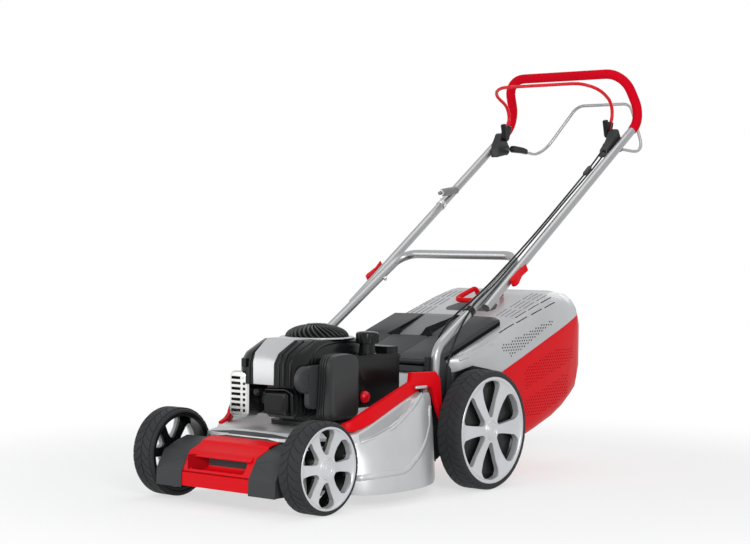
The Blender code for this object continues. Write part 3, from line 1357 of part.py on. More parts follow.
def split_cutter(lift, upwards):
    """Everything above or below the seam between the box's two halves."""
    seam = [(s, z + lift) for s, z in BOX_SEAM]
    level = 0.70 if upwards else -0.20
    outline = [*seam, (BOX_SEAM[-1][0], level), (BOX_SEAM[0][0], level)]
    return side_prism(outline, -0.30, 0.30)


def grass_box():
    for name, finish, lift, upwards in (
        ("box_top", SILVER_PAINT, GAP / 2, False),
        ("box_body", RED_PLASTIC, -GAP / 2, True),
    ):
        half = make(name, loft(box_rings(0.0)), finish)
        cut(half, loft(box_rings(BOX_WALL)), "inside")
        cut(half, split_cutter(lift, upwards), "seam")


def box_handle():
    """Low bail, its bar in front and its legs running back to feet on the lid."""
    front_s, foot_s = 0.846, 0.932
    rise = 0.020
    half = [
        at(0.036, foot_s, box_top_z(foot_s) + 0.0023), at(0.038, foot_s - 0.012, box_top_z(foot_s) + rise),
        at(0.052, front_s, box_top_z(front_s) + rise),
    ]
    corners = [Vector((-p.x, p.y, p.z)) for p in half] + half[::-1]
    path = rounded_path(corners, [0.010, 0.018, 0.018, 0.010], steps=4)
    make("box_handle", rod(path, 0.0065, 10), RED_PLASTIC, smooth_angle=40)


FLAP_SECTION = (
    # half width, height over the skirt's lower edge
    (-FLAP_HALF, 0.0), (-FLAP_HALF + 0.001, 0.0180), (-FLAP_HALF + 0.016, 0.0265), (-0.0620, 0.0275), (-0.0570, 0.0235),
    (-0.0520, 0.0275), (0.0520, 0.0275), (0.0570, 0.0235), (0.0620, 0.0275), (FLAP_HALF - 0.016, 0.0265),
    (FLAP_HALF - 0.001, 0.0180), (FLAP_HALF, 0.0),
)


def rear_flap():
    """Faceted deflector that hangs on the pin, its skirt resting on the grass box."""
    s_pin, z_pin = FLAP_PIN
    wall = FLAP_THICKNESS
    inner = [
        (x - math.copysign(wall, x) if abs(x) > FLAP_HALF - 0.012 else x, max(height - wall, 0.0))
        for x, height in FLAP_SECTION
    ]
    section = list(FLAP_SECTION) + inner[::-1]
    rings = []
    for s, base, share in (
        (s_pin, z_pin + 0.0010, 0.12), (0.4860, z_pin + 0.0010, 0.60), (0.5060, flap_edge_z(0.5060), 1.0),
        (0.6000, flap_edge_z(0.6000), 1.0), (0.6060, flap_edge_z(0.6060), 1.10), (0.7200, flap_edge_z(0.7200), 1.10),
        (FLAP_REAR_S, flap_edge_z(FLAP_REAR_S), 0.70),
    ):
        ring = []
        for (x, height), outer in zip(section, [*FLAP_SECTION, *FLAP_SECTION[::-1]]):
            under = outer[1] - height
            ring.append(at(x, s, base + outer[1] * share - under if outer[1] else base))
        rings.append(ring)
    pivot = at(0, *FLAP_PIN)
    flap = make("rear_flap", loft(rings), DARK_PLASTIC, pivot=pivot)
    knuckle = FLAP_HALF - 0.006
    add(flap, turned([(-knuckle, 0.0062), (knuckle, 0.0062)], pivot, "x", 16), "knuckle")
    reach = FLAP_HALF + 0.008
    cut(flap, turned([(-reach, FLAP_PIN_R + GAP), (reach, FLAP_PIN_R + GAP)], pivot, "x", 16), "pin_bore")


def build():
    deck_shell()
    front_apron()
    front_bumper()
    side_rails()
    rear_frame()
    front_axle()
    rear_axle()
    drive_shaft()
    gearbox()
    gearbox_pulley()
    v_belt()
    wheels()
    height_button()
    engine_block()
    valve_cover()
    spark_plug()
    crankshaft()
    flywheel()
    blade_boss()
    blade()
    muffler()
    muffler_guard()
    blower_housing()
    housing_fascia()
    recoil_cover()
    carburettor()
    air_filter_cover()
    fuel_tank()
    fuel_cap()
    primer_bulb()
    lower_handle()
    upper_handle()
    handle_grip()
    control_brackets()
    bails()
    cam_levers()
    cables()
    cable_clip()
    rope_guide()
    starter_grip()
    flap_pin()
    rear_flap()
    grass_box()
    box_handle()


build()
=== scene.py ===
"""Looks of the petrol lawn mower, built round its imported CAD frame.

Metres, Z up, +X to the mower's left, +Y to the handle. Stations (s) are distances behind the front axle.
"""

import json
from math import ceil, cos, pi, radians, sin, sqrt, tan

import bmesh
import bpy
from mathutils import Matrix, Vector
from mathutils.bvhtree import BVHTree


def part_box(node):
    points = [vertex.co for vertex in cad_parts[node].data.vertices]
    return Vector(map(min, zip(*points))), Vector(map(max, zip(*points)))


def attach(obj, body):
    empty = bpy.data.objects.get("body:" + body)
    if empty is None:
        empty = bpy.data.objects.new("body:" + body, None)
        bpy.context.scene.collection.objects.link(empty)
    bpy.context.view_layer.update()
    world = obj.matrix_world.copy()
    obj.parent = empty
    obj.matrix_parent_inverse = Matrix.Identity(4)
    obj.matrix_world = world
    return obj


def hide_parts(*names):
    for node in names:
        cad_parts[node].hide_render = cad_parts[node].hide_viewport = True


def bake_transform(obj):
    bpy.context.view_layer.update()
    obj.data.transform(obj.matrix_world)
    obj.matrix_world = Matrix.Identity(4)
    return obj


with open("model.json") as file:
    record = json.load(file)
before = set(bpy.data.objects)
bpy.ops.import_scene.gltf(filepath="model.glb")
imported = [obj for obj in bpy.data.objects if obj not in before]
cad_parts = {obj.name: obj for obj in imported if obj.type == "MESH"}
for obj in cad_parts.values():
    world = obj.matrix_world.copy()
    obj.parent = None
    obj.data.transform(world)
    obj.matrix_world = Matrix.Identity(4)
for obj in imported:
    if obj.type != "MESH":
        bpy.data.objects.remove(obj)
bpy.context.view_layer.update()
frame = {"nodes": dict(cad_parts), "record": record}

X_AXIS, Y_AXIS, Z_AXIS = Vector((1, 0, 0)), Vector((0, 1, 0)), Vector((0, 0, 1))
DOWN, BACKWARDS = (0, 0, -1), (0, 1, 0)
HANDS = ((1, "left"), (-1, "right"))
BODY_OF = {node: body for body, nodes in frame["record"]["behaviour"]["bodies"].items() for node in nodes}
SLOT_OF = {part["node"]: part["material_slot"] for part in frame["record"]["subparts"]}
SAME_POINT = 1e-5
SAME_PLANE = radians(0.6)
CENTRE_R = 0.0004
EDGE_FROM = radians(38)
CORNER_SHARE = 0.45
DONE = set()
SKINS = {}


def middle(node_name):
    low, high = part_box(node_name)
    return (low + high) / 2


FRONT_AXLE_Y = middle("tyre_front_left").y


def at(x, s, z):
    """A point from its side position, its station behind the front axle and its height."""
    return Vector((x, FRONT_AXLE_Y + s, z))


def mirrored(points):
    """The same points on the mower's other side."""
    return [Vector((-p.x, p.y, p.z)) for p in points]


# Materials

PATCH_SIZE = 7.0
PATCH_STOPS = (0.35, 0.65)
GLOSS_LESS, GLOSS_MORE = 0.06, 0.08
COAT_ROUGH = 0.12
GRAIN_DEPTH = 0.0004
FINISHES = {}


def dial(made, inputs):
    """Sets the values of a shader node's open inputs."""
    for key, value in inputs.items():
        made.inputs[key].default_value = value


def node(tree, kind, inputs=None, **settings):
    made = tree.nodes.new(kind)
    for key, value in settings.items():
        setattr(made, key, value)
    dial(made, inputs or {})
    return made


def finish(name, colour, rough, metal=0.0, coat=0.0, grain=0.0, grain_size=900.0, wear=0.06, shine=0.5):
    """A surface whose colour and gloss wander a little, with a fine grain in its bump."""
    material = bpy.data.materials.new(name)
    material.use_nodes = True
    tree = material.node_tree
    shader = tree.nodes["Principled BSDF"]
    dial(shader, {"Metallic": metal, "Specular IOR Level": shine})
    dial(shader, {"Coat Weight": coat, "Coat Roughness": COAT_ROUGH})
    seat = node(tree, "ShaderNodeTexCoord").outputs["Object"]
    broad = node(tree, "ShaderNodeTexNoise", {"Scale": PATCH_SIZE, "Detail": 4.0})
    ramp = node(tree, "ShaderNodeValToRGB")
    for stop, share, step in zip(ramp.color_ramp.elements, PATCH_STOPS, (1 - wear, 1 + wear)):
        stop.position = share
        stop.color = (*(min(channel * step, 1.0) for channel in colour), 1)
    link = tree.links.new
    roughest = {"To Min": max(rough - GLOSS_LESS, 0.02), "To Max": min(rough + GLOSS_MORE, 1.0)}
    gloss = node(tree, "ShaderNodeMapRange", roughest)
    link(seat, broad.inputs["Vector"])
    link(broad.outputs["Fac"], ramp.inputs["Fac"])
    link(ramp.outputs["Color"], shader.inputs["Base Color"])
    link(broad.outputs["Fac"], gloss.inputs["Value"])
    link(gloss.outputs["Result"], shader.inputs["Roughness"])
    if grain:
        fine = node(tree, "ShaderNodeTexNoise", {"Scale": grain_size, "Detail": 2.0})
        bump = node(tree, "ShaderNodeBump", {"Strength": grain, "Distance": GRAIN_DEPTH})
        link(seat, fine.inputs["Vector"])
        link(fine.outputs["Fac"], bump.inputs["Height"])
        link(bump.outputs["Normal"], shader.inputs["Normal"])
    FINISHES[name] = material


finish("deck_paint", (0.54, 0.55, 0.555), 0.4, metal=0.45, coat=0.06, grain=0.02)
finish("silver_paint", (0.52, 0.525, 0.53), 0.38, metal=0.4, coat=0.05, grain=0.02)
finish("rim_silver", (0.6, 0.61, 0.625), 0.32, metal=0.3, coat=0.08, grain=0.03)
finish("silver_plastic", (0.5, 0.51, 0.52), 0.34, metal=0.35, coat=0.05, grain=0.05)
finish("red_plastic", (0.76, 0.001, 0.007), 0.42, grain=0.04, wear=0.03, shine=0.12)
finish("red_coated_steel", (0.74, 0.001, 0.01), 0.32, wear=0.03, shine=0.3)
finish("red_foam", (0.7, 0.001, 0.014), 0.8, grain=0.5, grain_size=1500, wear=0.05, shine=0.08)
finish("red_rubber", (0.74, 0.002, 0.012), 0.32, wear=0.03, shine=0.35)
finish("dark_plastic", (0.04, 0.043, 0.045), 0.48, grain=0.25, grain_size=1300, shine=0.22)
finish("black_plastic", (0.005, 0.0055, 0.006), 0.24, grain=0.1, grain_size=1200, wear=0.15, shine=0.22)
finish("black_rubber", (0.008, 0.008, 0.009), 0.42, wear=0.15, shine=0.25)
finish("tyre_rubber", (0.026, 0.027, 0.029), 0.62, grain=0.3, grain_size=700, wear=0.2, shine=0.2)
finish("plated_steel", (0.62, 0.62, 0.61), 0.22, metal=1.0, grain=0.05, wear=0.1)
finish("black_steel", (0.018, 0.018, 0.019), 0.4, grain=0.15, wear=0.2, shine=0.3)
finish("cast_aluminium", (0.26, 0.265, 0.27), 0.45, metal=0.8, grain=0.5, grain_size=500, wear=0.15)
finish("cast_iron", (0.12, 0.12, 0.125), 0.55, metal=0.8, grain=0.5, grain_size=450, wear=0.2)
finish("tube_paint", (0.36, 0.365, 0.37), 0.3, metal=0.8, coat=0.08, wear=0.03)
finish("window_grey", (0.36, 0.363, 0.366), 0.45, shine=0.3)
# Painted shade for the concave under each rail.
finish("shade_grey", (0.4, 0.405, 0.41), 0.45, metal=0.3, grain=0.02)
finish("grip_grey", (0.2, 0.21, 0.205), 0.4, grain=0.1, grain_size=700, shine=0.4)
# Dark grey of plates and plastics; also painted shade on the deck's front over the apron.
finish("plate_and_shade_grey", (0.042, 0.044, 0.046), 0.42, grain=0.1, grain_size=1200, shine=0.3)
finish("soft_black", (0.02, 0.0215, 0.022), 0.4, grain=0.1, grain_size=1200, wear=0.1, shine=0.35)
# Near black for gaps, holes and grooves, and for painted shade under the flap's edges, behind the front
# wheels and over the bumper's corners.
finish("gap_and_shade_black", (0.003, 0.003, 0.003), 0.7, wear=0.1, shine=0.1)
# A darker red: painted shade in the hand hold; also the apron's seam and the shell's spots.
finish("deep_red", (0.36, 0.0005, 0.004), 0.6, wear=0.05, shine=0.05)
finish("pale_grey", (0.15, 0.155, 0.16), 0.36, grain=0.2, grain_size=1300, wear=0.05, shine=0.35)


# Pieces


def linked(name, data):
    """A new object of the scene that holds a mesh, a camera or a lamp."""
    obj = bpy.data.objects.new(name, data)
    bpy.context.scene.collection.objects.link(obj)
    return obj


def solid(name, bm):
    mesh = bpy.data.meshes.new(name)
    bm.to_mesh(mesh)
    bm.free()
    return linked(name, mesh)


def place(name, bm, of, slot=None, stands_in=False, body=None, look=None, smooth=35.0, bevel=0.0, segments=2):
    """Makes a piece from a bmesh, with the body and slot of the CAD node `of`, which it may stand in for.

    The body may also be given as a tuple, which leaves the piece unattached with its place baked into its
    mesh, and the look may be another finish than the slot's own.
    """
    bmesh.ops.recalc_face_normals(bm, faces=bm.faces)
    obj = solid(name, bm)
    slot = slot or SLOT_OF[of]
    obj.data.materials.append(FINISHES[look or slot])
    for face in obj.data.polygons:
        face.use_smooth = True
    obj.data.set_sharp_from_angle(angle=radians(smooth))
    if bevel:
        edge = obj.modifiers.new("edge", "BEVEL")
        edge.width = bevel
        edge.segments = segments
        edge.limit_method = "ANGLE"
        edge.angle_limit = EDGE_FROM
        edge.harden_normals = True
    body = body or BODY_OF[of]
    if isinstance(body, tuple):
        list(body)
        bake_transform(obj)
    else:
        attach(obj, body)
    if stands_in:
        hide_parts(of)
        DONE.add(of)
    return obj


def stand_in(name, bm, of, **style):
    """A piece that is shown instead of its CAD node."""
    return place(name, bm, of, stands_in=True, **style)


def node_mesh(name):
    """A CAD node's mesh with its facets joined."""
    bm = bmesh.new()
    bm.from_mesh(frame["nodes"][name].data)
    bmesh.ops.remove_doubles(bm, verts=bm.verts, dist=SAME_POINT)
    return bm


def merge_flats(bm):
    bmesh.ops.dissolve_limit(bm, angle_limit=SAME_PLANE, verts=bm.verts, edges=bm.edges)
    return bm


def refined(name, **style):
    """The CAD node's own shape with its edges eased and its surface finished."""
    stand_in(f"{name}_shell", merge_flats(node_mesh(name)), name, **style)


def carve(obj, bm):
    """Cuts a helper's shape out of a piece."""
    bmesh.ops.recalc_face_normals(bm, faces=bm.faces)
    helper = solid("helper", bm)
    modifier = obj.modifiers.new("carve", "BOOLEAN")
    modifier.operation = "DIFFERENCE"
    modifier.solver = "EXACT"
    modifier.object = helper
    with bpy.context.temp_override(object=obj, active_object=obj):
        bpy.ops.object.modifier_move_to_index(modifier="carve", index=0)
        bpy.ops.object.modifier_apply(modifier="carve")
    bpy.data.objects.remove(helper)


# Mesh forms


def loft(rings, bm=None, closed=False):
    """A skin over rings of points, capped at both ends unless it closes on itself."""
    bm = bm or bmesh.new()
    rows = [[bm.verts.new(point) for point in ring] for ring in rings]
    count = len(rows[0])
    pairs = list(zip(rows, rows[1:]))
    if closed:
        pairs.append((rows[-1], rows[0]))
    for low, high in pairs:
        for i in range(count):
            j = (i + 1) % count
            bm.faces.new((low[i], low[j], high[j], high[i]))
    if not closed:
        bm.faces.new(rows[0][::-1])
        bm.faces.new(rows[-1])
    return bm


def heading_at(path, i):
    """The direction in which a 2-D or 3-D path passes its point i."""
    return (Vector(path[min(i + 1, len(path) - 1)]) - Vector(path[max(i - 1, 0)])).normalized()


def circle(centre, radius, across, up, count):
    turns = [2 * pi * (i + 0.5) / count for i in range(count)]
    return [centre + across * radius * cos(t) + up * radius * sin(t) for t in turns]


def turned(profile, centre, axis, count=64, closed=False, bm=None):
    """A lathe form: (distance along the axis, radius) pairs turned about it."""
    axis = Vector(axis).normalized()
    across = X_AXIS if abs(axis.x) < 0.9 else Y_AXIS
    across = (across - axis * across.dot(axis)).normalized()
    up = axis.cross(across)
    rings = [circle(centre + axis * along, radius, across, up, count) for along, radius in profile]
    return loft(rings, bm, closed)


def rounded_path(corners, radii, steps=8):
    """Straight runs between corners, with an arc of the given radius at each inner corner."""
    points = [corners[0]]
    for before, corner, after, radius in zip(corners, corners[1:], corners[2:], radii):
        entry = (before - corner).normalized()
        leave = (after - corner).normalized()
        half = entry.angle(leave) / 2
        centre = corner + (entry + leave).normalized() * (radius / sin(half))
        start = (corner + entry * (radius / tan(half)) - centre).normalized()
        end = (corner + leave * (radius / tan(half)) - centre).normalized()
        points += [centre + start.slerp(end, i / steps) * radius for i in range(steps + 1)]
    points.append(corners[-1])
    return points


def smooth_path(corners, per_run):
    """A Catmull-Rom curve through given points."""
    ends = [corners[0] * 2 - corners[1], *corners, corners[-1] * 2 - corners[-2]]
    points = []
    for a, b, c, d in zip(ends, ends[1:], ends[2:], ends[3:]):
        slope, bend, twist = c - a, a * 2 - b * 5 + c * 4 - d, b * 3 - a - c * 3 + d
        for i in range(per_run):
            t = i / per_run
            points.append((b * 2 + slope * t + bend * t**2 + twist * t**3) / 2)
    return [*points, corners[-1]]


def rod(path, radius, sides=24, bm=None):
    """A round bar along a path. The radius may be a function of the share of the path's length."""
    rings = []
    tangent = (path[1] - path[0]).normalized()
    across = X_AXIS if abs(tangent.x) < 0.9 else Z_AXIS
    lengths = [0.0]
    for a, b in zip(path, path[1:]):
        lengths.append(lengths[-1] + (b - a).length)
    for i, point in enumerate(path):
        heading = heading_at(path, i)
        across = (tangent.rotation_difference(heading) @ across).normalized()
        tangent = heading
        across = (across - heading * across.dot(heading)).normalized()
        r = radius(lengths[i] / lengths[-1]) if callable(radius) else radius
        rings.append(circle(point, r, across, heading.cross(across), sides))
    return loft(rings, bm)


def fillet(outline, radius, steps=4):
    """A closed 2-D outline with each corner rounded. The radius may be one per corner."""
    points = []
    count = len(outline)
    radii = radius if isinstance(radius, (list, tuple)) else [radius] * count
    for i in range(count):
        before, corner, after = (Vector(outline[j % count]) for j in (i - 1, i, i + 1))
        entry, leave = (before - corner), (after - corner)
        reach = min(radii[i], entry.length * CORNER_SHARE, leave.length * CORNER_SHARE)
        start, end = corner + entry.normalized() * reach, corner + leave.normalized() * reach
        for k in range(steps + 1):
            t = k / steps
            points.append(tuple(start * (1 - t) ** 2 + corner * 2 * t * (1 - t) + end * t**2))
    return points


def rounded_box(u0, u1, v0, v1, radius, steps=5):
    return fillet([(u0, v0), (u1, v0), (u1, v1), (u0, v1)], radius, steps)


def side_prism(outline, x_low, x_high, bm=None):
    """An outline of (station, height) points, stretched across the mower."""
    return loft([[at(x, s, z) for s, z in outline] for x in (x_low, x_high)], bm)


def plan_prism(outline, z_low, z_high, bm=None):
    return loft([[at(x, s, z) for x, s in outline] for z in (z_low, z_high)], bm)


def front_prism(outline, s_low, s_high, bm=None):
    return loft([[at(x, s, z) for x, z in outline] for s in (s_low, s_high)], bm)


def shell_profile(path, wall):
    """Closed (station, height) profile of a wall of even thickness along an open path."""
    inner = []
    for i, point in enumerate(path):
        heading = heading_at(path, i)
        inner.append((point[0] + heading.y * wall, point[1] - heading.x * wall))
    return [*path, *inner[::-1]]


# Details that lie on a surface

FAR_SIDE = 0.3
ABOVE_BOX, ABOVE_FLAP, ABOVE_DECK = 0.6, 0.4, 0.3


def skin(name):
    """The surface of a CAD node."""
    if name not in SKINS:
        bm = bmesh.new()
        bm.from_mesh(frame["nodes"][name].data)
        SKINS[name] = BVHTree.FromBMesh(bm)
        bm.free()
    return SKINS[name]


def laid(name, points, towards, reach=0.12):
    """Where points, pushed along a direction, meet a node: (place, outward normal) pairs."""
    found = []
    towards = Vector(towards).normalized()
    for point in points:
        hit, normal, _, _ = skin(name).ray_cast(point - towards * reach, towards)
        if hit is not None:
            found.append((hit, normal if normal.dot(towards) < 0 else -normal))
    return found


def ridge(centre, across, out, flank):
    """Cross-section of a ridge: (distance across, height) points of one flank, then the same mirrored."""
    return [centre + across * u + out * v for u, v in (*flank, *((-u, v) for u, v in flank[::-1]))]


def strip(seats, width, height, bm=None, crown=0.55):
    """A low ridge along places on a surface. The width may be a function of the share of the way."""
    rings = []
    sink = 0.0012
    path = [seat for seat, _ in seats]
    for i, (seat, normal) in enumerate(seats):
        across = heading_at(path, i).cross(normal).normalized()
        half = (width(i / (len(path) - 1)) if callable(width) else width) / 2
        flank = [(-half, -sink), (-half, height * 0.15), (-half * crown, height)]
        rings.append(ridge(seat, across, normal, flank))
    return loft(rings, bm)


def studs(seats, radius, bm):
    """Small round spots on a surface."""
    sink, proud = 0.0008, 0.0003
    for seat, normal in seats:
        turned([(-sink, radius), (proud, radius), (proud + 0.0001, radius * 0.6)], seat, normal, 8, bm=bm)


def draped(name, curves, towards, proud=0.0009):
    """A thin plate that follows a node's surface; each curve gives the points of one cross-section."""
    rings = []
    sink = 0.0008
    for curve in curves:
        seats = laid(name, curve, towards)
        if len(seats) == len(curve):
            rings.append([p + n * proud for p, n in seats] + [p - n * sink for p, n in seats[::-1]])
    return loft(rings)


# Wheels

SPOKES = 6
BEAD_SHARE = 0.894
CORE_R = 0.0186
RIM_TURNS = 120
TREAD_DEPTH = 0.0011
SHOULDER, SHOULDER_DROP = 0.009, 0.0052
BLOCK_PITCH, BLOCK_GAP, BLOCK_STEPS = 0.021, 0.0017, 5


def wheel_seat(side, tyre_name, radius):
    """A wheel's width and the middle of its outer face."""
    low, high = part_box(tyre_name)
    return high.x - low.x, Vector((high.x if side > 0 else low.x, (low.y + high.y) / 2, radius))


def wheel_lathe(side, centre, profile, count, closed=True, bm=None):
    """(Distance out from the wheel's outer face, radius) pairs turned about its axle."""
    return turned([(side * a, r) for a, r in profile], centre, X_AXIS, count, closed, bm)


def window_cutter(centre, inner, outer, x_low, x_high):
    """Openings between the spokes, wider at the rim, with rounded corners."""
    bm = bmesh.new()
    span = outer - inner
    side_angle = ((inner, 0.17), (inner + 0.3 * span, 0.31), (outer - 0.14 * span, 0.345), (outer, 0.25))
    polar = [(r, -a) for r, a in side_angle] + [(outer + 0.002, 0.0)] + [(r, a) for r, a in side_angle[::-1]]
    outline = fillet([(r * cos(a), r * sin(a)) for r, a in polar], span * 0.15, 3)
    for i in range(SPOKES):
        turn = 2 * pi / SPOKES * (i + 0.5)
        cos_turn, sin_turn = cos(turn), sin(turn)
        ring = [(u * cos_turn - v * sin_turn, u * sin_turn + v * cos_turn) for u, v in outline]
        loft([[centre + Vector((x, y, z)) for y, z in ring] for x in (x_low, x_high)], bm)
    return bm


def rim(side, hand, end, radius):
    """Silver spoked cover with grey window walls, in front of a black backing and a black core."""
    name = f"rim_{end}_{hand}"
    width, centre = wheel_seat(side, f"tyre_{end}_{hand}", radius)
    bead, hub = radius * BEAD_SHARE, 0.023

    def shares(pairs, unit=bead):
        return [(a, unit * r) for a, r in pairs]

    hub_rings = (
        (-0.0022, 0.4), (-0.003, 0.43), (-0.003, 0.48), (-0.0022, 0.51), (-0.0022, 0.74),
        (-0.0036, 0.78), (-0.0036, 0.84), (-0.0022, 0.88), (-0.0024, 0.97), (-0.005, 1.05),
    )
    outside = (
        (-0.0084, 0.42), (-0.0098, 0.62), (-0.0076, 0.82), (-0.0044, 0.915), (-0.003, 0.932), (-0.0004, 0.95),
        (0.0, 0.968),
    )
    inside = ((-0.02, 0.955), (-0.0078, 0.945), (-0.0096, 0.82), (-0.0122, 0.62), (-0.0104, 0.42))
    cover = [
        (-0.0022, CENTRE_R), *shares(hub_rings, hub), *shares(outside), (0.0, bead - 0.0008), (-0.001, bead),
        (-0.02, bead), *shares(inside), (-0.009, hub), (-0.009, CENTRE_R),
    ]
    bm = wheel_lathe(side, centre, cover, RIM_TURNS, closed=False)
    openwork = [stand_in(f"{name}_cover", bm, name, smooth=28, bevel=0.001)]

    back, sleeve = -width + 0.0025, bead - 0.0006
    barrel = [(-0.0205, bead * 0.93), (-0.0205, sleeve), (back, sleeve), (back, bead * 0.9)]
    if end == "rear":
        # A closed dust cover over the ring gear.
        barrel += [(-0.029, bead * 0.9), (-0.029, 0.021), (-0.025, 0.021), (-0.025, bead * 0.9)]
    bm = wheel_lathe(side, centre, barrel, 72)
    tube = [(-0.0175, 0.008), (-0.0175, 0.019), (back + 0.002, 0.0165), (back + 0.002, 0.008)]
    wheel_lathe(side, centre, tube, 40, bm=bm)
    place(f"{name}_core", bm, name, look="black_plastic", bevel=0.0006)

    plate = shares(((-0.0212, 0.66), (-0.0206, 0.928), (-0.0265, 0.928)))
    bm = wheel_lathe(side, centre, [(-0.0206, CORE_R), *plate, (-0.027, CORE_R)], 90)
    openwork.append(place(f"{name}_backing", bm, name, look="black_plastic"))
    walls = shares(((-0.0106, 0.42), (-0.0124, 0.62), (-0.0098, 0.82), (-0.008, 0.944), (-0.02, 0.944)))
    bm = wheel_lathe(side, centre, [(-0.0088, CORE_R), *walls, (-0.02, CORE_R)], 90)
    openwork.append(place(f"{name}_walls", bm, name, look="window_grey", smooth=28))
    for piece in openwork:
        edges = sorted((side * 0.004, side * -0.03))
        carve(piece, window_cutter(centre, hub + 0.007, bead * 0.925, *edges))


def shoulder_drop(x):
    """How far the tread's surface lies inside the full radius, x metres in from the outer face."""
    return SHOULDER_DROP * max((x + SHOULDER) / SHOULDER, 0.0) ** 2.2


def tread_block(bm, centre, side, radius, start, length, across, lean):
    """One raised block: curved leading and trailing edges between two positions across the tread."""
    rings = []
    ease = 0.004
    for k in range(BLOCK_STEPS + 1):
        t = k / BLOCK_STEPS
        x = across[0] + (across[1] - across[0]) * t
        first = start + lean * t**1.7
        last = first + length
        top = radius - shoulder_drop(x)
        root = top - 0.002
        ridge_line = (first + last) / 2
        ring = ((first, root), (first + ease, top), (ridge_line, top), (last - ease, top), (last, root))
        rings.append([centre + Vector((side * x, r * cos(angle), r * sin(angle))) for angle, r in ring])
    loft(rings, bm)


def tyre(side, hand, end, radius):
    """Carcass with an outer and an inner row of leaning blocks, half a pitch apart."""
    name = f"tyre_{end}_{hand}"
    width, centre = wheel_seat(side, name, radius)
    bead = radius * BEAD_SHARE + 0.0002
    under = radius - TREAD_DEPTH
    profile = [
        (-0.0006, bead), (-0.0001, bead + 0.001), (0.0, bead + 0.003), (-0.0004, radius - 0.0066),
        (-0.0024, radius - 0.004), (-0.008, under), (-width + 0.008, under),
        (-width + 0.0024, radius - 0.004), (-width, radius - 0.007), (-width, bead),
    ]
    bm = wheel_lathe(side, centre, profile, 96)
    stand_in(f"{name}_carcass", bm, name, smooth=40)
    blocks = bmesh.new()
    count = round(2 * pi * radius / BLOCK_PITCH)
    pitch = 2 * pi / count
    length = pitch - BLOCK_GAP / radius
    rows = ((0.0, (-0.0012, -width / 2 + 0.0012)), (0.5, (-width + 0.006, -width / 2 - 0.0012)))
    for i in range(count):
        for shift, across in rows:
            tread_block(blocks, centre, side, radius, pitch * (i + shift), length, across, pitch * -0.95)
    place(f"{name}_tread", blocks, name, smooth=30)


for end in ("front", "rear"):
    wheel_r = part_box(f"tyre_{end}_left")[1].z / 2
    for side, hand in HANDS:
        rim(side, hand, end, wheel_r)
        tyre(side, hand, end, wheel_r)


# Handle

TUBE_R = 0.011
LOWER_X = 0.184
UPPER_X = 0.20555
SLOPE, RISE = 0.688, -0.006
FOAM = 0.0018
BAIL_R = 0.0045
BAIL_END_X = 0.1882
CLAMP_S = 0.7115
CABLE_R = 0.0024
BRAKE_PIVOT, DRIVE_PIVOT = (1.232, 0.868), (1.248, 0.836)


def on_handle(x, s):
    """A point on the straight line that both tubes follow in the side view."""
    return at(x, s, SLOPE * s + RISE)


def lower_handle():
    foot_s, foot_z, knee_z, bar_s, bar_z = 0.452, 0.264, 0.33, 0.8, 0.546
    half = [at(LOWER_X, bar_s, bar_z), at(LOWER_X, foot_s, knee_z), at(LOWER_X, foot_s, foot_z)]
    path = rounded_path(mirrored(half[::-1]) + half, [0.055, 0.048, 0.048, 0.055])
    stand_in("lower_tube", rod(path, TUBE_R), "lower_handle", look="tube_paint")


def upper_handle():
    """The bent upper tube with the foam over its loop."""
    foot_s, foam_s, knee_s = 0.622, 1.284, 1.338
    half = [on_handle(UPPER_X, foot_s), on_handle(UPPER_X, knee_s), at(UPPER_X - 0.02, 1.272, 1.031)]
    path = rounded_path(mirrored(half) + half[::-1], [0.058, 0.062, 0.062, 0.058])
    stand_in("upper_tube", rod(path, TUBE_R), "upper_handle", look="tube_paint")
    path = [on_handle(-UPPER_X, foam_s), *path[1:-1], on_handle(UPPER_X, foam_s)]

    def taper(share):
        return TUBE_R + FOAM - 0.0012 * max(1 - min(share, 1 - share) / 0.004, 0.0)

    stand_in("grip_foam", rod(path, taper), "handle_grip")


def bail(name, half_x, pivot, corners, radii, look=None):
    """A wire from pivot to pivot, through corners that are given for its left half."""
    half = [at(BAIL_END_X, *pivot), at(half_x, *pivot), *corners]
    path = rounded_path(half + mirrored(half)[::-1], radii + radii[::-1], steps=6)
    stand_in(f"{name}_wire", rod(path, BAIL_R, 16), name, look=look)


def bails():
    brake = [at(0.166, 1.262, 0.945), at(0.17, 1.15, 0.998)]
    bail("brake_bail", 0.166, BRAKE_PIVOT, brake, [0.0055, 0.045, 0.062])
    drive = [at(0.168, 1.418, 0.825), at(0.086, 1.4768, 0.967)]
    bail("drive_bail", 0.15, DRIVE_PIVOT, drive, [0.0055, 0.066, 0.036], "tube_paint")


def disc(centre, radius, start, end, steps=8):
    """Part of a circle in the side plane, as (station, height) points between two angles in degrees."""
    turns = (radians(start + (end - start) * i / steps) for i in range(steps + 1))
    return [(centre[0] + radius * cos(t), centre[1] + radius * sin(t)) for t in turns]


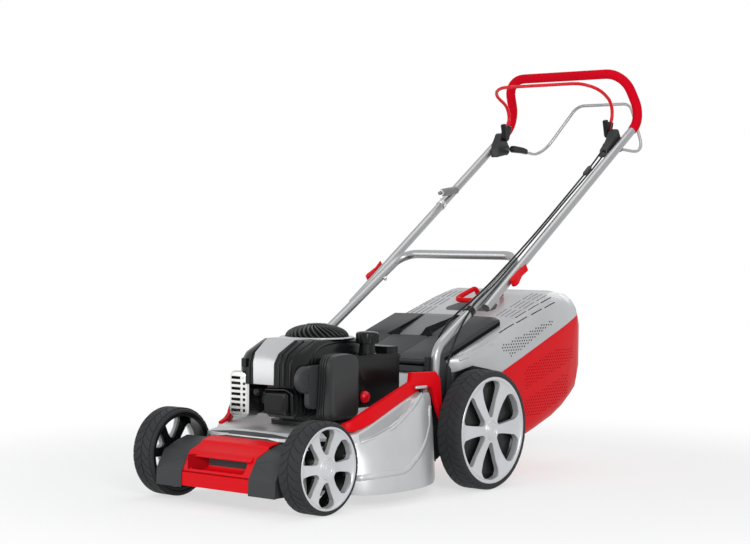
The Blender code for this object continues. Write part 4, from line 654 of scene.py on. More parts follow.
def controls():
    """Black brackets in the tubes, black arms that hold the ends of both bails, and the clamps' bolts."""
    outline = [
        (1.178, 0.803), *disc(DRIVE_PIVOT, 0.0165, -100, 60), *disc(BRAKE_PIVOT, 0.0125, 10, 170),
        (1.206, 0.848), (1.18, 0.824),
    ]
    brake_arm = [
        *disc(BRAKE_PIVOT, 0.0105, 190, 350), (1.25, 0.886), (1.253, 0.899), (1.242, 0.902), (1.232, 0.892),
        (1.223, 0.906), (1.213, 0.902), (1.217, 0.886),
    ]
    drive_arm = [
        *disc(DRIVE_PIVOT, 0.0095, 90, 270), (1.29, 0.826), (1.312, 0.824), (1.313, 0.838), (1.29, 0.843),
    ]
    arms = (("brake", brake_arm, 0.1575, 0.17), ("drive", drive_arm, 0.143, 0.1565))
    bolt = [
        (0.0, 0.0062), (-0.0022, 0.0062), (-0.003, 0.005), (-0.003, 0.003), (-0.0048, 0.0028),
        (-0.0052, 0.002),
    ]
    for side, hand in HANDS:
        bracket = f"control_bracket_{hand}"
        low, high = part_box(bracket)
        foot = outline if side > 0 else [(1.204, 0.812), *outline[1:-2], (1.204, 0.846)]
        bm = side_prism(foot, low.x, high.x)
        stand_in(f"bracket_{hand}", bm, bracket, bevel=0.003, segments=3, look="soft_black")
        for name, shape, inner, outer in arms:
            bm = side_prism(shape, *sorted((side * inner, side * outer)))
            place(f"{name}_arm_{hand}", bm, f"{name}_bail", "black_plastic", bevel=0.0025, segments=3)
        bm = turned(bolt, on_handle(side * (LOWER_X - TUBE_R + 0.0006), CLAMP_S), X_AXIS * side, 24)
        place(f"clamp_bolt_{hand}", bm, "lower_handle", "plated_steel", smooth=30, bevel=0.0002)


def cables():
    """Control cables, given the fold's bodies but left unattached, and the adjuster on the brake cable."""
    fold = ("base", "folding_handle", on_handle(LOWER_X, 0.69), on_handle(LOWER_X, 0.765))
    # Places beside the lower tube: distance from its middle, station and height.
    route = (
        (0.0003, 1.1772, 0.819), (0.0003, 1.169, 0.818), (0.0033, 1.1115, 0.7769), (0.0053, 0.9912, 0.6948),
        (0.0053, 0.8709, 0.6126), (0.0043, 0.79, 0.559), (0.0033, 0.72, 0.5145), (0.0028, 0.66, 0.4775),
        (0.0003, 0.6, 0.443), (-0.0017, 0.575, 0.43), (-0.0087, 0.53, 0.4), (-0.015, 0.488, 0.36),
        (-0.018, 0.458, 0.308), (-0.028, 0.442, 0.276), (-0.0637, 0.436, 0.2512),
    )
    bm = rod(smooth_path([at(LOWER_X + x, s, z) for x, s, z in route], 6), CABLE_R, 12)
    stand_in("brake_cable_sheath", bm, "brake_cable", slot="black_plastic", body=fold, smooth=60)
    refined("drive_cable", smooth=60, body=fold)
    ends = at(LOWER_X + 0.004, 1.079, 0.7546), at(LOWER_X + 0.0033, 1.1115, 0.7769)
    path = [ends[0].lerp(ends[1], i / 6) for i in range(7)]
    bm = rod(path, lambda t: 0.0034 + 0.0026 * min(1.0, 8 * t, 8 * (1 - t)), 20)
    place("brake_cable_adjuster", bm, "upper_handle", "black_plastic", smooth=30, look="plate_and_shade_grey")


lower_handle()
upper_handle()
bails()
controls()
cables()
refined("starter_grip", bevel=0.0012, smooth=50, segments=3, look="grip_grey")


# Engine

SPINDLE_S = middle("crankshaft").y - FRONT_AXLE_Y
DOME_LOW, DOME_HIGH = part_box("recoil_cover")
DOME_R = (DOME_HIGH.x - DOME_LOW.x) / 2
DOME_TURN = radians(78)
HOUSING_LOW, HOUSING_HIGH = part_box("blower_housing")
HOUSING_FRONT = HOUSING_LOW.y - FRONT_AXLE_Y
HOUSING_CORNER = 0.045


def spindle(z=0.0):
    return at(0, SPINDLE_S, z)


def dome_surface(share):
    """(Radius, height) from the foot of the dome to its crown."""
    angle = share * DOME_TURN
    rise = (DOME_HIGH.z - DOME_LOW.z - 0.006) * sin(angle) / sin(DOME_TURN)
    return DOME_R * (0.1 + 0.88 * cos(angle)), DOME_LOW.z + 0.0035 + rise


def recoil_cover():
    """Dark dome under a whirl of curved ribs that meet in a flat cap."""
    base, top = DOME_LOW.z, DOME_HIGH.z
    profile = [(base, DOME_R), (base + 0.003, DOME_R)]
    profile += [(z - 0.0022, r - 0.003) for r, z in (dome_surface(i / 12) for i in range(13))]
    bm = turned(profile, spindle(), Z_AXIS, 72)
    stand_in("recoil_dome", bm, "recoil_cover", smooth=50, look="gap_and_shade_black")
    ribs = bmesh.new()
    count, steps = 32, 9
    for i in range(count):
        rings = []
        for k in range(steps + 1):
            share = 0.93 * k / steps
            radius, z = dome_surface(share)
            half = 0.0026 * (0.35 + 0.65 * radius / DOME_R)
            turn = 2 * pi * i / count - 0.5 * share
            out = Vector((cos(turn), sin(turn), 0))
            across = Vector((-sin(turn), cos(turn), 0))
            lift = (out * 0.8 + Z_AXIS * (0.3 + 0.7 * share)).normalized()
            flank = [(-half, -0.0048), (half * -0.8, 0.0), (half * -0.3, 0.0008)]
            rings.append(ridge(spindle(z) + out * radius, across, lift, flank))
        loft(rings, ribs)
    place("recoil_ribs", ribs, "recoil_cover", smooth=50, look="soft_black")
    cap = [
        (top - 0.006, 0.026), (top - 0.001, 0.024), (top, 0.021), (top, 0.013), (top - 0.0012, 0.012),
        (top - 0.0012, 0.001),
    ]
    place("recoil_cap", turned(cap, spindle(), Z_AXIS, 48), "recoil_cover", bevel=0.0005)


def housing_ribs():
    """Upright moulded bars that run up the housing's front and over its shoulder."""
    bm = bmesh.new()
    # How far each level lies in from the side and the front, and its height on the housing.
    levels = (
        (0.0, 0.0, 0.0), (0.0, 0.0, 0.05), (0.006, 0.01, 0.07), (0.016, 0.046, 0.093), (0.02, 0.054, 0.0985),
    )
    for x, width in ((0.044, 0.005), (-0.044, 0.005), (0.0575, 0.007), (0.072, 0.005)):
        path = []
        for inset_side, inset_front, lift in levels:
            over = max(abs(x) - (HOUSING_HIGH.x - inset_side - HOUSING_CORNER), 0.0)
            depth = HOUSING_CORNER - sqrt(max(HOUSING_CORNER**2 - over**2, 0.0))
            path.append((HOUSING_FRONT + inset_front + depth, HOUSING_LOW.z + lift))
        rings = []
        for i, (s, z) in enumerate(path):
            heading = heading_at(path, i)
            flank = [(width / -2, -0.003), (width / -2, 0.001), (width * -0.3, 0.002)]
            rings.append(ridge(at(x, s, z), X_AXIS, Vector((0, -heading.y, heading.x)), flank))
        loft(rings, bm)
    place("housing_ribs", bm, "blower_housing", smooth=50)


def housing_arches():
    """Stepped arches that follow the housing's left shoulder from front to rear."""
    bm = bmesh.new()
    # Distance in from the side, station, height on the housing, and how a later arch shifts back and down.
    corners = (
        (0.0025, 0.108, 0.004, 1, 0.0), (0.002, 0.11, 0.03, 1, 0.0), (0.0035, 0.124, 0.06, 1, 0.5),
        (0.011, 0.15, 0.08, 1, 0.6), (0.015, 0.19, 0.09, 1, 0.7), (0.0165, 0.25, 0.093, 0, 0.7),
        (0.0165, 0.305, 0.09, 0, 0.7),
    )
    for shift, radius in ((0.0, 0.0029), (0.008, 0.0027), (0.0165, 0.0025)):
        path = [
            at(HOUSING_HIGH.x - inset, s + shift * back, HOUSING_LOW.z + z - shift * down)
            for inset, s, z, back, down in corners
        ]
        rod(smooth_path(path, 5), radius, 12, bm)
    place("housing_arches", bm, "blower_housing", smooth=60)


def filter_cover():
    """Rounded box with three ribs round its inner rim and a crease across its outer face."""
    low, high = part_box("air_filter_cover")
    s0, s1 = low.y - FRONT_AXLE_Y, high.y - FRONT_AXLE_Y
    z0, z1 = low.z, high.z
    corners = [(s0, z0), (s1, z0), (s1, z1 - 0.006), (s1 - 0.03, z1), (s0 + 0.01, z1 - 0.003)]
    outline = fillet(corners, [0.018, 0.018, 0.026, 0.03, 0.026], 6)
    middle_s, middle_z = (s0 + s1) / 2, (z0 + z1) / 2
    # Levels out from the engine, each with how far its outline lies inside the full one.
    rib = ((0.0, 0.0004), (0.0035, 0.0), (0.0042, 0.001), (0.0044, 0.0032), (0.0062, 0.0032), (0.0066, 0.001))
    levels = [(low.x, 0.0035), (low.x + 0.002, 0.001)]
    levels += [(x + step, inset) for x in (0.1135, 0.1205, 0.1275) for step, inset in rib]
    levels += [(0.135, 0.0), (0.145, 0.0006), (0.1515, 0.0026), (0.1552, 0.0056), (0.1572, 0.0092)]
    levels.append((high.x - 0.0004, 0.013))
    rings = []
    for x, inset in levels:
        by_s, by_z = 1 - inset / (s1 - middle_s), 1 - inset / (z1 - middle_z)
        ring = [(middle_s + (s - middle_s) * by_s, middle_z + (z - middle_z) * by_z) for s, z in outline]
        rings.append([at(x, s, z) for s, z in ring])
    cover = stand_in("filter_cover", loft(rings), "air_filter_cover", smooth=42, look="soft_black")
    crease = [
        (s0 - 0.01, z0 + 0.064), (s0 + 0.014, z0 + 0.078), (s1 + 0.01, z0 + 0.1), (s1 + 0.01, z1 + 0.02),
        (s0 - 0.01, z1 + 0.02),
    ]
    deep = [at(high.x - (0.0125 if z > z0 + 0.13 else -0.0002), s, z) for s, z in crease]
    carve(cover, loft([deep, [at(high.x + 0.01, s, z) for s, z in crease]]))
    bm = bmesh.new()
    bm.from_mesh(cover.data)
    for edge in bm.edges:
        faces = edge.link_faces
        if len(faces) == 2 and min(f.normal.x for f in faces) > 0.9 and edge.calc_face_angle() > radians(4):
            edge.smooth = False
    bm.to_mesh(cover.data)
    bm.free()


def valve_cover():
    """Black pressed cover with a raised panel, short ribs, a bolt in each corner and the hose round it."""
    low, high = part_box("valve_cover")
    refined("valve_cover", bevel=0.0018, segments=3)
    bm = bmesh.new()
    face = low.y - FRONT_AXLE_Y
    centre_x = (low.x + high.x) / 2
    for count, lift, x0, x1, proud in ((3, 0.015, 0.004, 0.021, 0.001), (2, 0.035, -0.019, 0.014, 0.0008)):
        for i in range(count):
            z = low.z + lift + 0.005 * i
            outline = rounded_box(centre_x + x0, centre_x + x1, z, z + 0.0022, 0.0009, 2)
            front_prism(outline, face - proud, face + 0.002, bm)
    place("valve_cover_ribs", bm, "valve_cover", bevel=0.0003)
    bolts = bmesh.new()
    head = [(0.0, 0.0032), (-0.003, 0.0032), (-0.0036, 0.0024)]
    for x in (low.x + 0.006, high.x - 0.006):
        for z in (low.z + 0.006, high.z - 0.006):
            turned(head, at(x, face + 0.003, z), Y_AXIS, 6, bm=bolts)
    place("valve_cover_bolts", bolts, "valve_cover", "plated_steel", smooth=20, look="black_steel")
    corners = (
        (low.x - 0.004, high.z - 0.03), (low.x - 0.003, high.z + 0.001), (high.x - 0.012, high.z + 0.004),
        (high.x + 0.004, high.z - 0.004), (high.x + 0.006, low.z + 0.004),
    )
    path = rounded_path([at(x, face + 0.012, z) for x, z in corners], [0.01, 0.02, 0.01], 6)
    place("intake_hose", rod(path, 0.0042, 16), "valve_cover", smooth=60)


def choke_plate():
    """The carburettor's elbow and the round intake lid on it."""
    refined("carburettor", bevel=0.0016, segments=3, look="plate_and_shade_grey")
    centre = at(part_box("carburettor")[1].x - 0.0022, 0.088, 0.2745)
    rings = [(0.0, 0.0255), (0.0012, 0.025), (0.0012, 0.012), (0.0004, 0.0112), (0.0004, 0.001)]
    place("choke_disc", turned(rings, centre, X_AXIS, 48), "carburettor", bevel=0.0004, look="plate_and_shade_grey")


def fuel_tank():
    """Tank with a collar under its cap, and the primer bulb in its ring."""
    refined("fuel_tank", bevel=0.003, segments=3)
    neck, primer = middle("fuel_cap"), middle("primer_bulb")
    collar = [(0.322, 0.0215), (0.3245, 0.0215), (0.3255, 0.02)]
    place("neck_collar", turned(collar, Vector((neck.x, neck.y, 0)), Z_AXIS, 48), "fuel_tank", bevel=0.0005)
    seat = Vector((0.1352, primer.y, primer.z))
    ring = [(-0.0004, 0.0158), (0.0014, 0.0158), (0.002, 0.0175), (0.0014, 0.0192), (-0.0004, 0.0192)]
    place("primer_ring", turned(ring, seat, X_AXIS, 48, closed=True), "fuel_tank", smooth=50)
    bulb = [
        (-0.0018, 0.0148), (0.0005, 0.0148), (0.003, 0.0142), (0.006, 0.0128), (0.0088, 0.01),
        (0.0104, 0.0062), (0.0111, CENTRE_R),
    ]
    stand_in("primer_dome", turned(bulb, seat, X_AXIS, 40), "primer_bulb", smooth=60)


def block_and_fascia():
    """Black block, smooth silver fascia, and the small lug at the housing's front corner."""
    refined("engine_block", bevel=0.0006, look="soft_black")
    refined("housing_fascia", bevel=0.0012, smooth=62, segments=3)
    lug = rounded_box(-0.064, -0.05, 0.296, 0.316, 0.0025, 3)
    bm = front_prism(lug, HOUSING_FRONT - 0.006, HOUSING_FRONT + 0.006)
    place("housing_lug", bm, "blower_housing", bevel=0.001)


block_and_fascia()
recoil_cover()
housing_ribs()
housing_arches()
filter_cover()
valve_cover()
choke_plate()
fuel_tank()


# Deck, apron and rails

APRON_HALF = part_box("front_apron")[1].x
UPPER_CREASE = (
    (0.15, 0.1415), (0.196, 0.1498), (0.244, 0.1643), (0.2785, 0.1801), (0.306, 0.1988),
    (0.333, 0.2177), (0.35, 0.2326),
)
SHADE_LIFT = 0.004


def smooth_table(table, steps=3):
    """(Station, height) pairs of a table with even steps put in between."""
    dense = []
    for (s0, z0), (s1, z1) in zip(table, table[1:]):
        dense += [(s0 + (s1 - s0) * i / steps, z0 + (z1 - z0) * i / steps) for i in range(steps)]
    return [*dense, table[-1]]


def deck():
    """The pressed shell with its two creases on each side."""
    refined("deck_shell", bevel=0.0008, smooth=60)
    lower = (
        (0.118, 0.064), (0.132, 0.0655), (0.15, 0.0677), (0.192, 0.0706), (0.227, 0.0716),
        (0.252, 0.0735), (0.2757, 0.0807), (0.2935, 0.0894), (0.3101, 0.099), (0.3267, 0.1095),
        (0.3443, 0.123), (0.3649, 0.142), (0.384, 0.169), (0.39, 0.205),
    )
    bm = bmesh.new()
    for side, _ in HANDS:
        for table, width, height in ((UPPER_CREASE, 0.0085, 0.0009), (lower, 0.013, 0.0016)):
            path = smooth_path([at(side * FAR_SIDE, s, z) for s, z in table], 4)
            strip(laid("deck_shell", path, (-side, 0, 0)), width, height, bm, crown=0.3)
    place("deck_creases", bm, "deck_shell", smooth=180)


def deck_plates():
    """Dark ledge under the front plate, and sheets of painted shade: a band over the gap above the apron, a
    black patch behind each front wheel, and a grey band on the concave under each rail.
    """
    ledge_x, ledge_s = (-0.125, -0.06, 0.0, 0.06, 0.125), (0.0165, 0.021, 0.026, 0.031)
    bm = draped("deck_shell", [[at(x, s, ABOVE_DECK) for s in ledge_s] for x in ledge_x], DOWN)
    place("deck_ledge", bm, "deck_shell", smooth=50, look="plate_and_shade_grey")
    # Painted shade: a dark band on the deck's front, in the gap just above the apron.
    gap_shade = []
    for x in (-0.14, -0.13, -0.118, -0.105, -0.09, -0.06, 0.0, 0.06, 0.09, 0.105, 0.118, 0.13, 0.14):
        top = 0.148 if abs(x) < 0.07 else 0.144
        gap_shade.append([at(x, -0.1, z) for z in (0.128, 0.133, 0.138, top)])
    bm = draped("deck_shell", gap_shade, BACKWARDS)
    place("deck_gap_shade", bm, "deck_shell", smooth=50, look="plate_and_shade_grey")
    shade_low = smooth_table([*((s, z + SHADE_LIFT) for s, z in UPPER_CREASE[:5]), (0.322, 0.215)])
    shade_high = ((0.15, 0.156), (0.184, 0.169), (0.254, 0.195), (0.3, 0.213), (0.33, 0.228))
    for side, hand in HANDS:
        inwards, beside = (-side, 0, 0), side * FAR_SIDE
        # Painted shade: a black sheet on the deck's side behind each front wheel, where the wheel shades it.
        curves = [[at(beside, 0.03 + 0.0082 * i, 0.04 + 0.0105 * k) for k in range(11)] for i in range(11)]
        bm = draped("deck_shell", curves, inwards, 0.0012)
        place(f"wheel_shade_{hand}", bm, "deck_shell", smooth=60, look="gap_and_shade_black")
        # Painted shade: a grey sheet on the concave between the rail and the upper crease, which lies in
        # shadow.
        curves = []
        for s, z in shade_low:
            (s0, z0), (s1, z1) = next(pair for pair in zip(shade_high, shade_high[1:]) if pair[1][0] >= s)
            top = z0 + (z1 - z0) * (s - s0) / (s1 - s0)
            curves.append([at(beside, s, z + (top - z) * k / 3) for k in range(4)])
        bm = draped("deck_shell", curves, inwards, 0.0005)
        place(f"rail_shade_{hand}", bm, "deck_shell", smooth=60, look="shade_grey")


def apron():
    """Red front with a deep hand hold under a bulging bar, and a stepped plate behind it."""
    name = "front_apron"
    hold_low, hold_high, hold_half = 0.079, 0.111, 0.081
    face = [
        (-0.09, 0.042), (-0.0896, 0.056), (-0.0888, 0.0715), (-0.0862, 0.0742), (-0.086, 0.0775),
        (-0.0745, 0.1), (-0.069, 0.1105), (-0.064, 0.116), (-0.056, 0.12), (-0.032, 0.13),
        (-0.0262, 0.1345), (-0.0255, 0.1375), (0.006, 0.1446),
    ]
    bm = side_prism(shell_profile(face, 0.0028), -APRON_HALF, APRON_HALF)
    shell = stand_in("apron", bm, name, smooth=30, bevel=0.0008)
    carve(shell, front_prism(rounded_box(-hold_half, hold_half, hold_low, hold_high, 0.013), -0.105, -0.055))
    bowl = [(-0.085, 0.08), (-0.07, 0.0765), (-0.061, 0.08), (-0.056, 0.09), (-0.056, 0.1)]
    bm = side_prism(shell_profile(bowl, 0.0022)[::-1], -hold_half - 0.003, hold_half + 0.003)
    place("apron_scoop", bm, name, smooth=50)
    # Painted shade: the hold's side walls and a wedge in its right-hand corner, in a darker red.
    bm = bmesh.new()
    wall = [(-0.085, 0.0785), (-0.0565, 0.0785), (-0.056, 0.115), (-0.066, 0.112)]
    for x in (-0.0828, 0.0828):
        side_prism(wall, x - 0.0012, x + 0.0012, bm)
    hold_corner_shade = [
        (-0.0838, -0.087), (-0.0838, -0.057), (-0.048, -0.057), (-0.056, -0.064), (-0.076, -0.08),
        (-0.0815, -0.087),
    ]
    plan_prism(hold_corner_shade, 0.0785, hold_high, bm)
    place("apron_hold_shade", bm, name, smooth=60, look="deep_red")
    back = [(-0.057, 0.088), (-0.054, 0.088), (-0.054, 0.118), (-0.057, 0.118)]
    place("apron_backing", side_prism(back, -0.0825, 0.0825), name, "dark_plastic")
    seam = rounded_box(-0.0895, -0.084, 0.0728, 0.0744, 0.0004, 1)
    place("apron_seam", side_prism(seam, -APRON_HALF, APRON_HALF), name, look="deep_red")
    lip = [(-0.0775, 0.1085), (-0.0735, 0.1105), (-0.069, 0.114), (-0.064, 0.1178)]
    bm = side_prism(shell_profile(lip, 0.003), -0.092, 0.092)
    place("apron_bar", bm, name, smooth=50, bevel=0.0012, segments=3)


def bumper():
    """Dark corner pieces, each with a slanting step on its face, and painted shade in the gap over them."""
    refined("front_bumper", bevel=0.001)
    inner, outer = APRON_HALF + 0.004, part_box("front_bumper")[1].x - 0.002
    steps = (
        ((inner, 0.106), (0.15, 0.087), (outer, 0.0755)),
        ((inner, 0.1075), (0.13, 0.112), (outer, 0.118)),
    )
    bm = bmesh.new()
    for side, _ in HANDS:
        for table in steps:
            path = smooth_path([at(side * x, -0.2, z) for x, z in table], 4)
            strip(laid("front_bumper", path, BACKWARDS, 0.1), 0.0022, 0.0005, bm)
    place("bumper_steps", bm, "front_bumper", smooth=50)
    # Painted shade: a black sheet in the gap between the bumper's corners and the apron.
    gap = [(-0.03, 0.123), (0.006, 0.133), (0.006, 0.1352), (-0.03, 0.125)]
    place("bumper_gap_shade", side_prism(gap, -0.17, 0.17), "front_bumper", look="gap_and_shade_black")


def button():
    """Oval silver push button with a dark stem."""
    low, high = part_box("height_button")
    centre = (low + high) / 2
    half_x, half_y = 0.0058, 0.021
    rings = []
    for drop, share in ((0.006, 0.92), (0.0052, 0.99), (0.0018, 1.0), (0.0006, 0.95), (0.0, 0.84)):
        ring = []
        for i in range(40):
            angle = 2 * pi * i / 40
            u, v = cos(angle), sin(angle)
            grow = share * (abs(u) ** 3 + abs(v) ** 3) ** (-1 / 3)
            ring.append(Vector((centre.x + u * grow * half_x, centre.y + v * grow * half_y, high.z - drop)))
        rings.append(ring)
    stand_in("button_cap", loft(rings), "height_button", smooth=40)
    stem = [(low.z - high.z, 0.0044), (-0.0055, 0.0044)]
    bm = turned(stem, Vector((centre.x, centre.y, high.z)), Z_AXIS, 24)
    place("button_stem", bm, "height_button", look="black_plastic")


deck()
deck_plates()
apron()
bumper()
button()


# Flap and grass box

LID_SLOPE, LID_RISE = 0.343, 0.296 - 0.343 * 0.513
FLAP_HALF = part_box("rear_flap")[1].x
FLAP_FRONT, FLAP_LENGTH = 0.592, 0.146
FLAP_END = 0.744
MOUTH_S = 0.675


def lid_z(s, lift=0.0):
    """Height above the plane on which the flap's skirt rests."""
    return LID_SLOPE * s + LID_RISE + lift


def flap():
    """Flap with a raised panel between two dark grooves, and painted shade under its edges."""
    name = "rear_flap"
    refined(name, bevel=0.0014, segments=3)
    shares = [i / 8 for i in range(9)]
    bm = bmesh.new()
    for side, _ in HANDS:
        path = [at(side * (0.052 + 0.003 * t), FLAP_FRONT + FLAP_LENGTH * t, ABOVE_FLAP) for t in shares]
        strip(laid(name, path, DOWN, 0.1), lambda t: 0.036 * (1 - t) + 0.003, 0.0006, bm, crown=0.95)
    place("flap_grooves", bm, name, look="gap_and_shade_black")
    rings = []
    for t in shares:
        half = 0.03 + 0.018 * t
        row = [at(half * k / 3, FLAP_FRONT + FLAP_LENGTH * t, ABOVE_FLAP) for k in range(-3, 4)]
        top = [p for p, _ in laid(name, row, DOWN, 0.1)]
        rings.append([p + Z_AXIS * 0.001 for p in top] + [p - Z_AXIS * 0.001 for p in top[::-1]])
    place("flap_panel", loft(rings), name, smooth=60, look="pale_grey")
    # Painted shade: black bands under the flap's sides and its rear edge.
    bm = bmesh.new()
    flank = [
        (0.516, lid_z(0.516)), (FLAP_END, lid_z(FLAP_END)), (FLAP_END, lid_z(FLAP_END, 0.008)),
        (0.52, lid_z(0.52, 0.008)),
    ]
    for side, _ in HANDS:
        side_prism(flank, *sorted((side * (FLAP_HALF - 0.001), side * (FLAP_HALF + 0.0012))), bm)
    low, high = lid_z(FLAP_END), lid_z(FLAP_END, 0.007)
    end_shade = [(-FLAP_HALF, low), (FLAP_HALF, low), (FLAP_HALF, high), (-FLAP_HALF, high)]
    front_prism(end_shade, FLAP_END - 0.0004, FLAP_END + 0.0009, bm)
    place("flap_edge_shade", bm, name, look="gap_and_shade_black")
    line = laid(name, [at(x, 0.2, 0.302) for x in (-0.155, -0.05, 0.05, 0.155)], BACKWARDS, 0.2)
    place("flap_shadow_line", strip(line, 0.0022, 0.0004), name, look="gap_and_shade_black")


def rear_lip():
    """Dark strip that closes the gap between the deck's rear wall and the flap's hinge."""
    profile = [(0.4615, 0.265), (0.4655, 0.265), (0.4655, 0.287), (0.4635, 0.288), (0.456, 0.2745)]
    place("rear_lip", side_prism(profile, -0.148, 0.148), "rear_frame", bevel=0.0005)


def split_body():
    """The box's red shell, whose front quarter between the wheels is black."""
    for name, keep, look in (("box_shell", 1, "red_plastic"), ("box_mouth_frame", -1, "black_plastic")):
        bm = node_mesh("box_body")
        bmesh.ops.bisect_plane(
            bm, geom=[*bm.verts, *bm.edges, *bm.faces], plane_co=at(0, MOUTH_S, 0), plane_no=(0, keep, 0),
            clear_inner=True,
        )
        bmesh.ops.holes_fill(bm, edges=[e for e in bm.edges if e.is_boundary])
        place(name, merge_flats(bm), "box_body", stands_in=keep > 0, smooth=40, bevel=0.0006, look=look)


def grid(first, last, step, row):
    """Even places between two ends, shifted by half a step on every other row."""
    count = int((last - first) / step) + 1 if last >= first else 0
    lead = ceil(first / step) * step + (step / 2 if row % 2 else 0)
    return [lead + step * i for i in range(count) if lead + step * i <= last]


def lid_sieve(side):
    """Places of the air spots on one flank of the lid, in rows that lean with its edges."""
    seats = []
    for row in range(12):
        z = 0.3022 + 0.0071 * row
        first = 0.687 + (3.85 * (z - 0.3276) if z > 0.3276 else 1.5 * (0.3276 - z))
        last = min(0.738 + 3.8 * (z - 0.3022), 0.802 + 2.35 * (z - 0.3276), 0.922)
        seats += [at(side * FAR_SIDE, s, z) for s in grid(first, last, 0.0102, row)]
    return laid("box_top", seats, (-side, 0, 0), 0.1)


def shell_sieve(side):
    """Places of the spots on one flank of the red shell: a band along its edge and a field under it."""
    seats = []
    for row in range(22):
        z = 0.152 + 0.0074 * row
        for s in grid(0.795, 1.03, 0.0105, row):
            centre = 0.236 + 0.3 * (s - 0.776)
            band = abs(z - centre) < 0.026 and s < 1.02
            field = z < centre - 0.052 and z > 0.15 + max(s - 0.86, 0) * 0.3 and s < 0.99
            if band or field:
                seats.append(at(side * FAR_SIDE, s, z))
    return laid("box_body", seats, (-side, 0, 0), 0.1)


def box_details():
    """Air slots, sieve spots, a side fold and a dark sheet of painted shade in the recess under the handle,
    all on the shells' surface.
    """
    lid = "box_top"
    spots, red_spots, fold, slots, grooves = (bmesh.new() for _ in range(5))
    # Distance from the middle, where the slits start, the mesh they go into and their width.
    slits = (
        (0.184, (0.711, 0.782, 0.846, 0.903), slots, 0.0026), (0.17, (0.8, 0.855, 0.908), slots, 0.0024),
        (0.155, (0.8, 0.856, 0.912), grooves, 0.0016), (0.14, (0.8, 0.858, 0.914), grooves, 0.0016),
        (0.125, (0.802, 0.86, 0.916), grooves, 0.0016), (0.11, (0.804, 0.862, 0.918), grooves, 0.0016),
    )
    fold_line = ((0.562, 0.2975), (0.581, 0.3053), (0.636, 0.3226), (0.668, 0.333))
    for side, _ in HANDS:
        studs(lid_sieve(side), 0.0021, spots)
        studs(shell_sieve(side), 0.0017, red_spots)
        path = smooth_path([at(side * FAR_SIDE, s, z) for s, z in fold_line], 4)
        strip(laid(lid, path, (-side, 0, 0)), 0.005, 0.0012, fold, crown=0.3)
        for x, starts, bm, width in slits:
            for i, start in enumerate(starts):
                length = 0.062 if start < 0.75 else 0.046
                path = [at(side * (x + 0.004 * i / 3), start + length * k / 3, ABOVE_BOX) for k in range(4)]
                strip(laid(lid, path, DOWN, 0.1), width, 0.0004, bm, crown=0.9)
    place("box_sieve", spots, lid, "silver_paint", look="gap_and_shade_black")
    place("box_sieve_red", red_spots, "box_body", look="deep_red")
    place("box_fold", fold, lid, "silver_paint", smooth=180)
    place("box_slots", slots, lid, "silver_paint", look="gap_and_shade_black")
    place("box_grooves", grooves, lid, "silver_paint", look="soft_black")
    # Painted shade: a dark sheet on the lid where the recess under the handle lies in shadow.
    corners = [(-0.078, 0.846), (-0.06, 0.882), (0.06, 0.882), (0.078, 0.846), (0.066, 0.83), (-0.066, 0.83)]
    recess_shade = [p for p, _ in laid(lid, [at(x, s, ABOVE_BOX) for x, s in fillet(corners, 0.012, 5)], DOWN, 0.1)]
    bm = loft([[p - Z_AXIS * 0.0018 for p in recess_shade], [p + Z_AXIS * 0.0006 for p in recess_shade]])
    place("handle_recess_shade", bm, lid, "silver_paint", look="soft_black")


rear_lip()
flap()
split_body()
refined("box_top", bevel=0.001, smooth=40)
box_details()

# Everything else keeps its CAD form with eased edges.
for name in sorted(frame["nodes"]):
    if name not in DONE:
        refined(name, bevel=0.0006)


# Camera and light

AZIMUTH, ELEVATION, ROLL = radians(39.0848), radians(2.7051), radians(0.5349)
AIM, DISTANCE, LENS = at(0.1, 0.3, 0.4), 4.0034, 84.22
SHIFT_X, SHIFT_Y = 0.0118, 0.0637
SKY_STRENGTH = 0.42
FADE_START, FADE_END = 0.75, 1.6
WHITENED = 0.62


def camera():
    """The photograph's viewpoint, 4 m from a point near the mower's middle."""
    flat = cos(ELEVATION)
    back = Vector((sin(AZIMUTH) * flat, -cos(AZIMUTH) * flat, sin(ELEVATION)))
    right = Z_AXIS.cross(back).normalized()
    up = back.cross(right)
    right, up = right * cos(ROLL) + up * sin(ROLL), up * cos(ROLL) - right * sin(ROLL)
    data = bpy.data.cameras.new("camera")
    data.lens, data.sensor_width = LENS, 36.0
    data.shift_x, data.shift_y = SHIFT_X, SHIFT_Y
    cam = linked("camera", data)
    turn = Matrix((right, up, back)).transposed().to_4x4()
    cam.matrix_world = Matrix.Translation(AIM + back * DISTANCE) @ turn
    bpy.context.scene.camera = cam


def lamp(name, seat, aim, size, power):
    data = bpy.data.lights.new(name, "AREA")
    data.shape, data.size, data.energy = "DISK", size, power
    obj = linked(name, data)
    obj.location = seat
    obj.rotation_euler = (Vector(aim) - Vector(seat)).to_track_quat("-Z", "Y").to_euler()


def seen_directly(tree):
    """1 for what the camera, a reflection or a see-through surface looks at, 0 for light on the object."""
    ray = node(tree, "ShaderNodeLightPath")
    link = tree.links.new
    first = node(tree, "ShaderNodeMath", operation="MAXIMUM")
    second = node(tree, "ShaderNodeMath", operation="MAXIMUM")
    link(ray.outputs["Is Camera Ray"], first.inputs[0])
    link(ray.outputs["Is Glossy Ray"], first.inputs[1])
    link(first.outputs[0], second.inputs[0])
    link(ray.outputs["Is Transmission Ray"], second.inputs[1])
    return second.outputs[0]


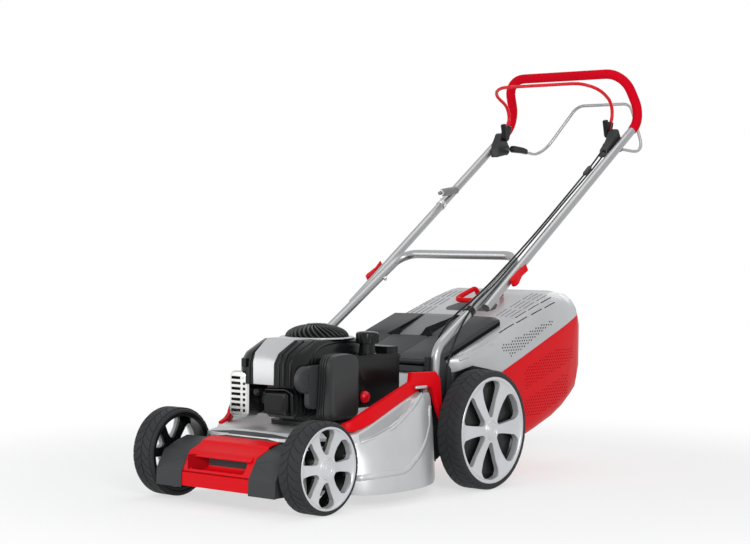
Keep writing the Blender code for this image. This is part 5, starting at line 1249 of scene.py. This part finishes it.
def studio():
    """White surroundings for the camera and for reflections, with a dimmer sky that lights the object."""
    world = bpy.data.worlds.new("studio")
    world.use_nodes = True
    bpy.context.scene.world = world
    tree = world.node_tree
    tree.nodes.clear()
    out = node(tree, "ShaderNodeOutputWorld")
    shown = node(tree, "ShaderNodeBackground", {"Color": (1, 1, 1, 1)})
    light = node(tree, "ShaderNodeBackground", {"Color": (0.95, 0.97, 1, 1), "Strength": SKY_STRENGTH})
    link = tree.links.new
    mix = node(tree, "ShaderNodeMixShader")
    link(seen_directly(tree), mix.inputs["Fac"])
    link(light.outputs[0], mix.inputs[1])
    link(shown.outputs[0], mix.inputs[2])
    link(mix.outputs[0], out.inputs["Surface"])
    lamp("key", (3.1, -2.9, 1.9), (0, 0, 0.4), 1.6, 84)
    lamp("fill", (-2.6, -3.2, 1.2), (0, 0, 0.3), 2.2, 30)
    lamp("top", (0.2, 0.6, 3.4), (0, 0, 0.3), 2.2, 14)
    lamp("back", (-0.6, 3.4, 2.2), (0, 0.2, 0.5), 2.0, 15)


def floor():
    """Pale floor that takes the mower's shadow and turns plain white further out."""
    bm = bmesh.new()
    bmesh.ops.create_circle(bm, cap_ends=True, radius=30, segments=96)
    obj = solid("floor", bm)
    obj.location.z = -0.0005
    material = bpy.data.materials.new("floor")
    material.use_nodes = True
    tree = material.node_tree
    shader = tree.nodes["Principled BSDF"]
    dial(shader, {"Base Color": (0.97, 0.97, 0.97, 1), "Roughness": 1.0, "Specular IOR Level": 0.0})
    link = tree.links.new
    white = node(tree, "ShaderNodeEmission")
    seat = node(tree, "ShaderNodeTexCoord")
    reach = node(tree, "ShaderNodeVectorMath", operation="LENGTH")
    stops = {"From Min": FADE_START, "From Max": FADE_END, "To Min": WHITENED}
    fade = node(tree, "ShaderNodeMapRange", stops, interpolation_type="SMOOTHSTEP")
    both = node(tree, "ShaderNodeMath", operation="MULTIPLY")
    mix = node(tree, "ShaderNodeMixShader")
    link(seat.outputs["Object"], reach.inputs[0])
    link(reach.outputs["Value"], fade.inputs["Value"])
    link(fade.outputs["Result"], both.inputs[0])
    link(seen_directly(tree), both.inputs[1])
    link(both.outputs[0], mix.inputs["Fac"])
    link(shader.outputs[0], mix.inputs[1])
    link(white.outputs[0], mix.inputs[2])
    link(mix.outputs[0], tree.nodes["Material Output"].inputs["Surface"])
    obj.data.materials.append(material)


camera()
studio()
floor()
bpy.context.scene.view_settings.view_transform = "Standard"
